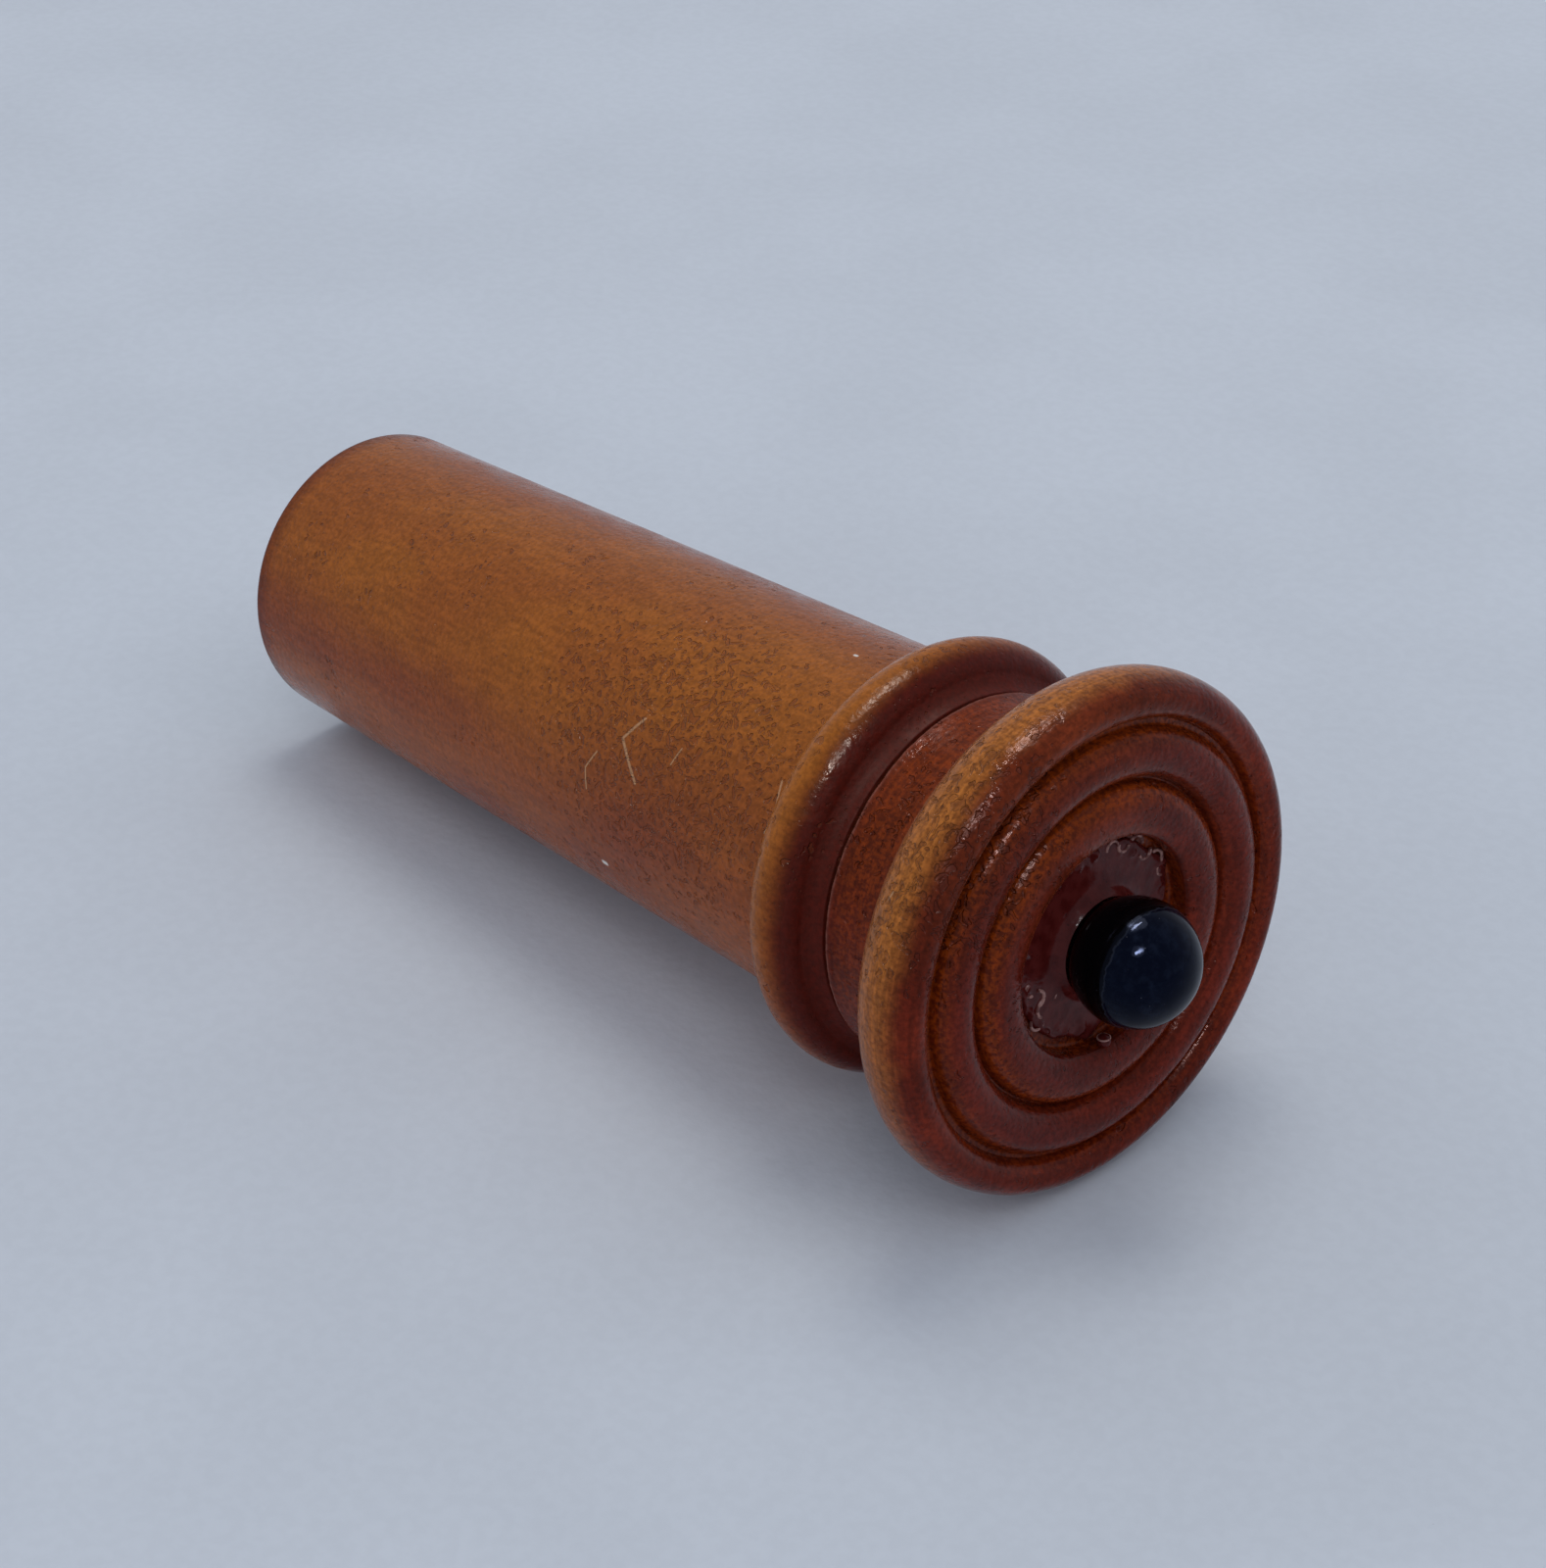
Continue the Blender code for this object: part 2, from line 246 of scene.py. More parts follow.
class Lathe:
    """Turns closed half sections about the upright long axis."""

    def __init__(self, steps: int) -> None:
        """Set how many steps a full turn has."""
        self.steps = steps

    def turn(self, section: list[Point]) -> bmesh.types.BMesh:
        """Spin a closed section into a ring-shaped solid.

        Args:
            section: Points of radius and height, in order round the section.

        Returns:
            The closed solid.
        """
        work = bmesh.new()
        verts = [work.verts.new((radius, 0.0, height)) for radius, height in section]
        edges = [
            work.edges.new((vert, verts[(index + 1) % len(verts)]))
            for index, vert in enumerate(verts)
        ]
        self._spin(work, verts, edges)
        return work

    def turn_open(self, profile: list[Point]) -> bmesh.types.BMesh:
        """Spin a profile whose ends lie on the axis into a solid.

        Args:
            profile: Points of radius and height from one pole to the other.

        Returns:
            The closed solid, with each pole one point.
        """
        work = bmesh.new()
        verts = [work.verts.new((radius, 0.0, height)) for radius, height in profile]
        edges = [work.edges.new(pair) for pair in zip(verts, verts[1:])]
        self._spin(work, verts, edges)
        return work

    def _spin(self, work: bmesh.types.BMesh, verts: list, edges: list) -> None:
        """Spin the section once round and close it.

        Args:
            work: The mesh in the making.
            verts: The section's points.
            edges: The section's lines.
        """
        bmesh.ops.spin(
            work,
            geom=verts + edges,
            cent=ORIGIN,
            axis=LONG_AXIS,
            angle=math.tau,
            steps=self.steps,
            use_merge=True,
        )
        bmesh.ops.remove_doubles(work, verts=work.verts[:], dist=MERGE_GAP)
        bmesh.ops.recalc_face_normals(work, faces=work.faces[:])


def turn_about(work: bmesh.types.BMesh, verts: list, axis: str, degrees: float) -> None:
    """Turn points about one of the three axes.

    Args:
        work: The mesh that they belong to.
        verts: The points.
        axis: The axis' letter.
        degrees: How far they turn.
    """
    turn = Matrix.Rotation(math.radians(degrees), 3, axis)
    bmesh.ops.rotate(work, cent=ORIGIN, matrix=turn, verts=verts)


def round_edges(work: bmesh.types.BMesh, edges: list, offset: float) -> None:
    """Round a few edges in three steps.

    Args:
        work: The mesh that they belong to.
        edges: The edges.
        offset: How wide the rounding is.
    """
    bmesh.ops.bevel(
        work,
        geom=edges,
        offset=offset,
        offset_type="OFFSET",
        affect="EDGES",
        segments=3,
        profile=0.5,
        material=-1,
    )


def close_ends(work: bmesh.types.BMesh) -> None:
    """Put a lid on every open end of a mesh.

    Args:
        work: The mesh.
    """
    rims = [edge for edge in work.edges if edge.is_boundary]
    if rims:
        bmesh.ops.holes_fill(work, edges=rims, sides=0)


def bent_rod(
    work: bmesh.types.BMesh,
    centre: Vector,
    bend: float,
    thick: float,
    start: float,
    sweep: float,
    upright: bool = False,
) -> None:
    """Add a round rod bent along an arc.

    Args:
        work: The mesh that it is added to.
        centre: The middle of the arc.
        bend: The arc's radius.
        thick: The rod's radius.
        start: Where the arc starts, in degrees.
        sweep: How far it runs, in degrees.
        upright: Whether the arc stands up, facing +X, instead of lying flat.
    """
    full = sweep >= 360.0
    made = bmesh.ops.create_circle(work, cap_ends=not full, segments=ROD_SIDES, radius=thick)
    verts = made["verts"]
    turn_about(work, verts, "X", 90.0)
    bmesh.ops.translate(work, vec=(bend, 0.0, 0.0), verts=verts)
    turn_about(work, verts, "Z", start)
    edges = list(dict.fromkeys(edge for vert in verts for edge in vert.link_edges))
    faces = list(dict.fromkeys(face for vert in verts for face in vert.link_faces))
    known = set(work.verts)
    bmesh.ops.spin(
        work,
        geom=verts + edges + faces,
        cent=ORIGIN,
        axis=LONG_AXIS,
        angle=math.radians(sweep),
        steps=max(12, int(sweep / 8.0)),
        use_merge=full,
    )
    rod = verts + [vert for vert in work.verts if vert not in known]
    if upright:
        turn_about(work, rod, "Y", 90.0)
    bmesh.ops.translate(work, vec=centre, verts=rod)
    close_ends(work)


def mark_outline(work: bmesh.types.BMesh, section: list[Point]) -> None:
    """Store on every point how far along the turned outline it lies.

    Args:
        work: The turned mesh.
        section: The section that it was turned from.
    """
    outline = work.verts.layers.float.new("outline")
    run, lengths = 0.0, {}
    last = section[0]
    for radius, height in section:
        run += math.hypot(radius - last[0], height - last[1])
        last = (radius, height)
        lengths.setdefault((round(radius, 3), round(height, 3)), run)
    known = list(lengths.items())
    for vert in work.verts:
        place = (round(math.hypot(vert.co.x, vert.co.y), 3), round(vert.co.z, 3))
        if place not in lengths:
            near = min(known, key=lambda item: math.dist(item[0], place))
            lengths[place] = near[1]
        vert[outline] = lengths[place]


def add_layers(work: bmesh.types.BMesh, *names: str) -> list:
    """Add the layers of numbers that a finish reads.

    Args:
        work: The mesh.
        names: The layers' names.

    Returns:
        The layers, in the same order.
    """
    for name in names:
        work.verts.layers.float.new(name)
    return [work.verts.layers.float[name] for name in names]


def grain(place: Vector, across: float, along: float) -> float:
    """Soft noise over an upright point, at one scale round it and one along it."""
    return noise.noise(Vector((place.x * across, place.y * across, along)))


@dataclass(frozen=True)
class Fitting:
    """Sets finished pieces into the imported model."""

    placement: Placement

    def place(
        self,
        work: bmesh.types.BMesh,
        name: str,
        material: bpy.types.Material,
        body: Body,
        slot: Slot,
        node: str,
        sharp: float = SMOOTH_LIMIT,
    ) -> bpy.types.Object:
        """Lay a finished mesh down as a piece of the toy.

        Args:
            work: The upright mesh in millimetres, which is freed.
            name: The piece's name.
            material: Its finish.
            body: The body that it rides on.
            slot: The material slot that it stands for; not used.
            node: The plain node that it replaces.
            sharp: Edges that turn by more than this stay crisp.

        Returns:
            The piece.
        """
        bmesh.ops.recalc_face_normals(work, faces=work.faces[:])
        bmesh.ops.transform(work, matrix=self.placement.matrix(), verts=work.verts[:])
        mesh = bpy.data.meshes.new(name)
        work.to_mesh(mesh)
        work.free()
        mesh.materials.append(material)
        mesh.shade_smooth()
        mesh.set_sharp_from_angle(angle=sharp)
        piece = bpy.data.objects.new(name, mesh)
        bpy.context.scene.collection.objects.link(piece)
        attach(piece, body.value)
        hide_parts(node)
        REPORT.info("%s: %d faces, on %s", name, len(mesh.polygons), body.value)
        return piece


@dataclass(frozen=True)
class Stroke:
    """The size and spacing of short strokes, in millimetres.

    The length and the width are half sizes, and lean is how much more the
    strokes run along the long axis than round it.
    """

    spacing: float
    length: float
    width: float
    lean: float = 1.0


class Bench:
    """A node tree that a finish is laid out on."""

    def __init__(self, name: str) -> None:
        """Start a material with nothing but its shader.

        Args:
            name: The material's name.
        """
        self.material = bpy.data.materials.new(name)
        self.material.use_nodes = True
        self.tree = self.material.node_tree
        self.tree.nodes.clear()
        self.output = self.tree.nodes.new("ShaderNodeOutputMaterial")
        self.shader = self.tree.nodes.new("ShaderNodeBsdfPrincipled")
        self.tree.links.new(self.shader.outputs[0], self.output.inputs[0])

    def node(self, kind: str, **settings: object) -> bpy.types.Node:
        """Add a node and set its options.

        Args:
            kind: The node's type name.
            settings: Options by their attribute names.

        Returns:
            The node.
        """
        made = self.tree.nodes.new(kind)
        for key, value in settings.items():
            setattr(made, key, value)
        return made

    def feed(self, socket: bpy.types.NodeSocket, value: object) -> None:
        """Link a socket to another, or set it to a plain value.

        Args:
            socket: The input.
            value: An output socket, a number, or three or four numbers.
        """
        if isinstance(value, bpy.types.NodeSocket):
            self.tree.links.new(value, socket)
        elif socket.type == "RGBA" and len(value) == 3:
            socket.default_value = (*value, 1.0)
        else:
            socket.default_value = value

    def maths(self, operation: str, *values: object, clamp: bool = False) -> object:
        """One step of arithmetic.

        Args:
            operation: The Math node's operation.
            values: Its inputs.
            clamp: Whether the result is kept between 0 and 1.

        Returns:
            The result's socket.
        """
        made = self.node("ShaderNodeMath", operation=operation, use_clamp=clamp)
        for socket, value in zip(made.inputs, values):
            self.feed(socket, value)
        return made.outputs[0]

    def vector(self, operation: str, *values: object) -> object:
        """One step of vector arithmetic.

        Args:
            operation: The Vector Math node's operation.
            values: Its inputs.

        Returns:
            The result's socket, a number for lengths and products.
        """
        made = self.node("ShaderNodeVectorMath", operation=operation)
        slots = [made.inputs[0], made.inputs[1], made.inputs[2]]
        if operation == "SCALE":
            slots[1] = made.inputs["Scale"]
        for socket, value in zip(slots, values):
            self.feed(socket, value)
        number = operation in ("DOT_PRODUCT", "LENGTH", "DISTANCE")
        return made.outputs["Value" if number else "Vector"]

    def span(
        self, value: object, low: float, high: float, a: float = 0.0, b: float = 1.0
    ) -> object:
        """A smooth step.

        Args:
            value: The number to map.
            low: Where the step starts.
            high: Where it ends.
            a: The result below the start.
            b: The result beyond the end.

        Returns:
            The mapped number's socket.
        """
        made = self.node("ShaderNodeMapRange", interpolation_type="SMOOTHSTEP")
        for socket, number in zip(made.inputs, (value, low, high, a, b)):
            self.feed(socket, number)
        return made.outputs[0]

    def blend(self, factor: object, a: object, b: object, mode: str = "MIX") -> object:
        """Mix two colours.

        Args:
            factor: How much of the second shows.
            a: The first colour.
            b: The second colour.
            mode: The Mix node's way of blending.

        Returns:
            The mixed colour's socket.
        """
        made = self.node("ShaderNodeMix", data_type="RGBA", blend_type=mode)
        for key, value in ((0, factor), (6, a), (7, b)):
            self.feed(made.inputs[key], value)
        return made.outputs[2]

    def noise(
        self, vector: object, scale: float, detail: float = 2.0, rough: float = 0.5
    ) -> object:
        """Cloudy noise between about 0.3 and 0.7.

        Args:
            vector: Where it is read.
            scale: Waves per unit.
            detail: Layers of finer noise.
            rough: How strong the finer layers are.

        Returns:
            The noise's number socket.
        """
        made = self.node("ShaderNodeTexNoise")
        self.feed(made.inputs["Vector"], vector)
        made.inputs["Scale"].default_value = scale
        made.inputs["Detail"].default_value = detail
        made.inputs["Roughness"].default_value = rough
        return made.outputs["Fac"]

    def attribute(self, name: str) -> object:
        """A number that the maker of the piece stored on its mesh."""
        return self.node("ShaderNodeAttribute", attribute_name=name).outputs["Fac"]

    def product(self, *values: object) -> object:
        """The product of several numbers.

        Args:
            values: The numbers or their sockets.

        Returns:
            The product's socket.
        """
        found = values[0]
        for value in values[1:]:
            found = self.maths("MULTIPLY", found, value)
        return found

    def upright(self, placement: Placement) -> object:
        """The point in the piece's own upright millimetres.

        Args:
            placement: Where the toy lies.

        Returns:
            The vector's socket.
        """
        place = self.node("ShaderNodeTexCoord").outputs["Object"]
        undo = self.node("ShaderNodeMapping", vector_type="TEXTURE")
        self.feed(undo.inputs["Vector"], place)
        undo.inputs["Location"].default_value = placement.origin
        undo.inputs["Rotation"].default_value = (0.0, placement.turn(), 0.0)
        undo.inputs["Scale"].default_value = (MM, MM, MM)
        return undo.outputs[0]

    def unrolled(self, point: object, radius: float) -> object:
        """The surface rolled out flat: round the axis, and along the turned outline.

        Args:
            point: The upright point.
            radius: The radius at which the roll keeps its true width.

        Returns:
            The flat vector's socket, in millimetres.
        """
        sides = self.node("ShaderNodeSeparateXYZ")
        self.feed(sides.inputs[0], point)
        back = self.maths("MULTIPLY", sides.outputs[0], -1.0)
        angle = self.maths("ARCTAN2", sides.outputs[1], back)
        flat = self.node("ShaderNodeCombineXYZ")
        self.feed(flat.inputs[0], self.maths("MULTIPLY", angle, radius))
        self.feed(flat.inputs[1], self.attribute("outline"))
        return flat.outputs[0]

    def strokes(
        self, point: object, stroke: Stroke, share: object = 1.0, rolled: bool = False
    ) -> object:
        """Short strokes at all angles, as open wood vessels and fibres leave.

        Args:
            point: Where it is read, in millimetres, in space or rolled out flat.
            stroke: The strokes' size.
            share: How many of them show, from 0 to 1.
            rolled: Whether the point is rolled out flat, so that each stroke
                lies wholly in the surface.

        Returns:
            A number that is 1 in the middle of a stroke and 0 outside.
        """
        cells = self.node("ShaderNodeTexVoronoi", voronoi_dimensions="2D" if rolled else "3D")
        self.feed(cells.inputs["Vector"], point)
        cells.inputs["Scale"].default_value = 1.0 / stroke.spacing
        away = self.vector("SUBTRACT", point, cells.outputs["Position"])
        tone = self.vector("SUBTRACT", cells.outputs["Color"], (0.5, 0.5, 0.5))
        leaning = self.vector("MULTIPLY", tone, (1.0, stroke.lean, stroke.lean))
        course = self.vector("NORMALIZE", leaning)
        along = self.vector("DOT_PRODUCT", away, course)
        gap = self.vector("SUBTRACT", away, self.vector("SCALE", course, along))
        across = self.vector("LENGTH", gap)
        a = self.maths("POWER", self.maths("DIVIDE", along, stroke.length), 2.0)
        b = self.maths("POWER", self.maths("DIVIDE", across, stroke.width), 2.0)
        mark = self.span(self.maths("ADD", a, b), 1.0, 0.25)
        if share == 1.0:
            return mark
        luck = self.node("ShaderNodeSeparateColor")
        self.feed(luck.inputs[0], cells.outputs["Color"])
        kept = self.maths("ADD", self.maths("SUBTRACT", luck.outputs[2], 1.0), share)
        return self.maths("MULTIPLY", mark, self.span(kept, 0.0, 0.18))

    def near(self, point: object, start: Point, end: Point, width: float) -> object:
        """A thin mark along a straight line in space.

        Args:
            point: Where it is read, in millimetres.
            start: The mark's first end.
            end: The mark's last end.
            width: Its half width.

        Returns:
            A number that is 1 on the mark and 0 away from it.
        """
        run = Vector(end) - Vector(start)
        away = self.vector("SUBTRACT", point, tuple(start))
        along = self.vector("DOT_PRODUCT", away, tuple(run / run.length_squared))
        held = self.maths("MINIMUM", self.maths("MAXIMUM", along, 0.0), 1.0)
        foot = self.vector("SCALE", tuple(run), held)
        return self.span(self.vector("DISTANCE", away, foot), width, 0.4 * width)

    def largest(self, values: list) -> object:
        """The largest of several numbers.

        Args:
            values: The numbers' sockets.

        Returns:
            The socket of the largest.
        """
        found = values[0]
        for value in values[1:]:
            found = self.maths("MAXIMUM", found, value)
        return found

    def bump(self, height: object, depth: float, under: object = None) -> object:
        """Raise or sink the surface by a height.

        Args:
            height: The height, from 0 to 1.
            depth: What 1 stands for, in millimetres.
            under: The normal of the layer beneath, if there is one.

        Returns:
            The new normal's socket.
        """
        made = self.node("ShaderNodeBump")
        made.inputs["Distance"].default_value = depth * MM
        self.feed(made.inputs["Height"], height)
        if under is not None:
            self.feed(made.inputs["Normal"], under)
        return made.outputs[0]

    def set(self, **values: object) -> None:
        """Set or link the shader's own sockets.

        Args:
            values: Socket values by name, with _ for a blank.
        """
        for key, value in values.items():
            name = key.replace("_", " ").title().replace("Ior", "IOR")
            self.feed(self.shader.inputs[name], value)


@dataclass(frozen=True)
class Finish:
    """A finish that is laid out in the piece's own upright millimetres."""

    name: str

    def make(self, placement: Placement) -> bpy.types.Material:
        """Make the finish's material.

        Args:
            placement: Where the toy lies.

        Returns:
            The material.
        """
        bench = Bench(self.name)
        self.lay_out(bench, bench.upright(placement))
        return bench.material

    def lay_out(self, bench: Bench, point: object) -> None:
        """Link the finish's nodes; each finish has its own."""
        raise NotImplementedError(self.name)


HAIR_COLOUR = (0.62, 0.33, 0.16)
DUST_COLOUR = (0.85, 0.80, 0.72)
ROLL_RADIUS = 14.0
COARSE_PORES = Stroke(0.85, 0.62, 0.19, 1.5)
CROSSING_PORES = Stroke(1.10, 0.75, 0.20, 0.9)
FINE_PORES = Stroke(0.42, 0.17, 0.095, 1.3)


@dataclass(frozen=True)
class StainedWood(Finish):
    """Close-grained wood, stained red-brown under a satin lacquer.

    Deep and body are the two tones of the stain's clouds, gold is wood bared by
    handling and also painted light on the side that faces the lamps, crease is the
    thin orange stain in the turned creases with painted light on the flanks that
    face the lamps, dark is painted shade, and the pale lip colour is a painted
    highlight on the lip of an edge. A hair is two points and a half width, a speck
    a point and a size.
    """

    deep: Colour
    body: Colour
    gold: Colour
    crease: Colour
    dark: Colour
    pore: Colour
    lip_highlight: Colour
    gloss: float
    sheen: float
    sheen_tint: Colour
    tool_marks: float
    rub_and_light_angle: float
    rub_and_light_gold: float
    pore_patch: Vector
    pore_reach: float
    pore_least: float
    pore_tone: float
    mottle: float
    ring_tone: float
    hairs: tuple = ()
    specks: tuple = ()

    def lay_out(self, bench: Bench, point: object) -> None:
        """Link the finish's nodes.

        Args:
            bench: Where the finish is laid out.
            point: The upright point.
        """
        speck = bench.noise(point, 2.6, 2.0, 0.6)
        rings = bench.noise(bench.vector("MULTIPLY", point, (0.16, 0.16, 3.6)), 1.0, 3.0, 0.6)
        pits = self._pits(bench, point)
        hairs = [bench.near(point, start, end, width) for start, end, width in self.hairs]

        colour = self._stain(bench, point, speck)
        colour = self._grain(bench, point, colour, speck, rings)
        colour = bench.blend(bench.product(pits, self.pore_tone), colour, self.pore)
        colour = self._litter(bench, point, colour, hairs)

        wear = bench.noise(point, 0.35, 3.0, 0.6)
        rough = bench.span(wear, 0.35, 0.65, self.gloss - 0.06, self.gloss + 0.09)
        rough = bench.maths("ADD", rough, bench.product(pits, 0.18))
        rough = bench.maths("ADD", rough, bench.product(bench.attribute("dull"), 0.40))
        normal = bench.bump(rings, self.tool_marks)
        normal = bench.bump(bench.noise(point, 2.0), 0.06, normal)
        normal = bench.bump(bench.maths("SUBTRACT", 1.0, pits), 0.17, normal)
        if hairs:
            normal = bench.bump(bench.largest(hairs), 0.06, normal)
        bench.set(base_color=colour, roughness=rough, normal=normal, ior=1.5)
        bench.set(specular_ior_level=self.sheen, specular_tint=self.sheen_tint)

    def _stain(self, bench: Bench, point: object, speck: object) -> object:
        """The stain's clouds and its thin places, the gold of wear and painted light on the side
        that faces the lamps, and painted shade.

        Args:
            bench: Where the finish is laid out.
            point: The upright point.
            speck: Noise as fine as the wood's grain.

        Returns:
            The colour's socket.
        """
        slow = bench.noise(bench.vector("MULTIPLY", point, (1.0, 1.0, 0.5)), 0.10, 3.0)
        cloud = bench.span(slow, 0.34, 0.66)
        flank = bench.vector("NORMALIZE", bench.vector("MULTIPLY", point, (1.0, 1.0, 0.0)))
        way = (math.cos(self.rub_and_light_angle), math.sin(self.rub_and_light_angle), 0.0)
        facing = bench.vector("DOT_PRODUCT", flank, way)
        # Gold on the side that faces the lamps: wear from handling and painted light.
        rub_and_light_gold = bench.product(
            bench.span(facing, 0.45, 1.0, 0.0, self.rub_and_light_gold),
            bench.span(cloud, 0.0, 1.0, 0.70, 1.0),
        )
        # Gold from the per-point share on the bead's back and the flange's rim: wear from handling
        # and painted light.
        soft = bench.product(bench.attribute("rub_and_light"), bench.span(speck, 0.30, 0.52, 0.78, 1.0))
        # Orange in the creases and round the neck: thin stain, stronger on the lamp side as
        # painted light.
        gritty = bench.product(
            bench.attribute("thin_stain_and_light"), bench.span(speck, 0.40, 0.58, 0.25, 1.0)
        )
        colour = bench.blend(cloud, self.deep, self.body)
        colour = bench.blend(rub_and_light_gold, colour, self.gold)
        # Painted shade from the per-point share.
        colour = bench.blend(bench.attribute("shade"), colour, self.dark)
        colour = bench.blend(soft, colour, self.gold)
        return bench.blend(gritty, colour, self.crease)

    def _grain(
        self, bench: Bench, point: object, colour: object, speck: object, rings: object
    ) -> object:
        """Fibres, mottle and turning rings in the stain, and the painted highlights on its pale
        lips.

        Args:
            bench: Where the finish is laid out.
            point: The upright point.
            colour: The stain's colour.
            speck: Noise as fine as the wood's grain.
            rings: Noise in rings round the long axis.

        Returns:
            The colour's socket.
        """
        fibre = bench.noise(bench.vector("MULTIPLY", point, (1.0, 1.0, 0.22)), 1.6, 3.0, 0.6)
        streak = bench.span(fibre, 0.35, 0.65, 0.90, 1.09)
        mottled = bench.span(speck, 0.34, 0.66, 1.0 - self.mottle, 1.0 + self.mottle)
        turned = bench.span(rings, 0.36, 0.64, 1.0 - self.ring_tone, 1.0 + self.ring_tone)
        colour = bench.vector("SCALE", colour, bench.product(streak, mottled, turned))
        # Pale lips: painted highlights.
        broken = bench.product(bench.attribute("edge"), bench.span(fibre, 0.36, 0.56, 0.45, 1.0))
        return bench.blend(broken, colour, self.lip_highlight)

    def _pits(self, bench: Bench, point: object) -> object:
        """The open pores, thick in one patch and sparse elsewhere.

        Args:
            bench: Where the finish is laid out.
            point: The upright point.

        Returns:
            A number that is 1 in a pore and 0 on the smooth wood.
        """
        swirl = bench.node("ShaderNodeTexNoise")
        bench.feed(swirl.inputs["Vector"], point)
        swirl.inputs["Scale"].default_value = 0.9
        shift = bench.vector("SUBTRACT", swirl.outputs["Color"], (0.5, 0.5, 0.5))
        flat = bench.unrolled(point, ROLL_RADIUS)
        bent = bench.vector("ADD", flat, bench.vector("MULTIPLY", shift, (1.3, 1.3, 0.0)))

        squeeze = Vector((1.0, 1.0, 0.8))
        squeezed = bench.vector("MULTIPLY", point, squeeze)
        patch = bench.vector("DISTANCE", squeezed, self.pore_patch * squeeze)
        heavy = bench.span(patch, self.pore_reach, 0.30 * self.pore_reach)
        stray = bench.span(bench.noise(point, 0.14), 0.50, 0.72, self.pore_least, 0.45)
        heavy = bench.maths("MAXIMUM", heavy, stray)
        few = bench.maths("ADD", bench.product(heavy, 0.25), 0.12)

        moved = bench.vector("ADD", bent, (17.3, 4.1, 0.0))
        loose = bench.vector("ADD", flat, (5.7, 9.4, 0.0))
        coarse = bench.strokes(bent, COARSE_PORES, heavy, rolled=True)
        crossing = bench.strokes(moved, CROSSING_PORES, bench.product(heavy, 0.8), rolled=True)
        fine = bench.strokes(loose, FINE_PORES, few, rolled=True)
        return bench.largest([coarse, crossing, bench.product(fine, 0.7)])

    def _litter(self, bench: Bench, point: object, colour: object, hairs: list) -> object:
        """The hairs caught in the lacquer and the specks of dust on it.

        Args:
            bench: Where the finish is laid out.
            point: The upright point.
            colour: The wood's colour.
            hairs: The hairs' sockets.

        Returns:
            The colour's socket.
        """
        if hairs:
            strength = bench.product(bench.largest(hairs), 0.8)
            colour = bench.blend(strength, colour, HAIR_COLOUR)
        dust = [
            bench.near(point, (x, y, z), (x, y, z + size), size)
            for (x, y, z), size in self.specks
        ]
        if dust:
            colour = bench.blend(bench.largest(dust), colour, DUST_COLOUR)
        return colour


@dataclass(frozen=True)
class BallGlass(Finish):
    """Dark polished glass, blackened at the back and a little smudged in front."""

    name: str = "ball_glass_finish"
    back: Colour = (0.0015, 0.0015, 0.002)
    front: Colour = (0.0004, 0.0011, 0.0056)
    smudge: Colour = (0.0046, 0.0074, 0.0170)
    rim: Colour = (0.03, 0.035, 0.05)
    dust: Colour = (0.25, 0.25, 0.28)
    cap_height: float = 95.6

    def lay_out(self, bench: Bench, point: object) -> None:
        """Link the finish's nodes.

        Args:
            bench: Where the finish is laid out.
            point: The upright point.
        """
        sides = bench.node("ShaderNodeSeparateXYZ")
        bench.feed(sides.inputs[0], point)
        uneven = bench.span(bench.noise(point, 1.6), 0.3, 0.7, -0.10, 0.10)
        ragged = bench.maths("ADD", sides.outputs[2], uneven)
        seam = self.cap_height
        front = bench.span(ragged, seam - 0.04, seam + 0.06)
        smear = bench.span(bench.noise(point, 0.9, 4.0, 0.65), 0.42, 0.72)
        colour = bench.blend(front, self.back, bench.blend(smear, self.front, self.smudge))
        rim = bench.product(
            bench.span(ragged, seam - 0.10, seam), bench.span(ragged, seam + 0.14, seam + 0.02)
        )
        colour = bench.blend(bench.product(rim, 0.5), colour, self.rim)
        dust = bench.strokes(point, Stroke(0.85, 0.075, 0.05))
        thin = bench.product(dust, bench.span(bench.noise(point, 0.8), 0.52, 0.60), 0.35)
        colour = bench.blend(thin, colour, self.dust)
        rough = bench.maths("ADD", bench.product(smear, 0.12), 0.07)
        normal = bench.bump(bench.noise(point, 1.3, 3.0), 0.012)
        bench.set(base_color=colour, roughness=rough, normal=normal, ior=1.5)
        bench.set(specular_ior_level=0.11, specular_tint=(0.50, 0.60, 1.0))


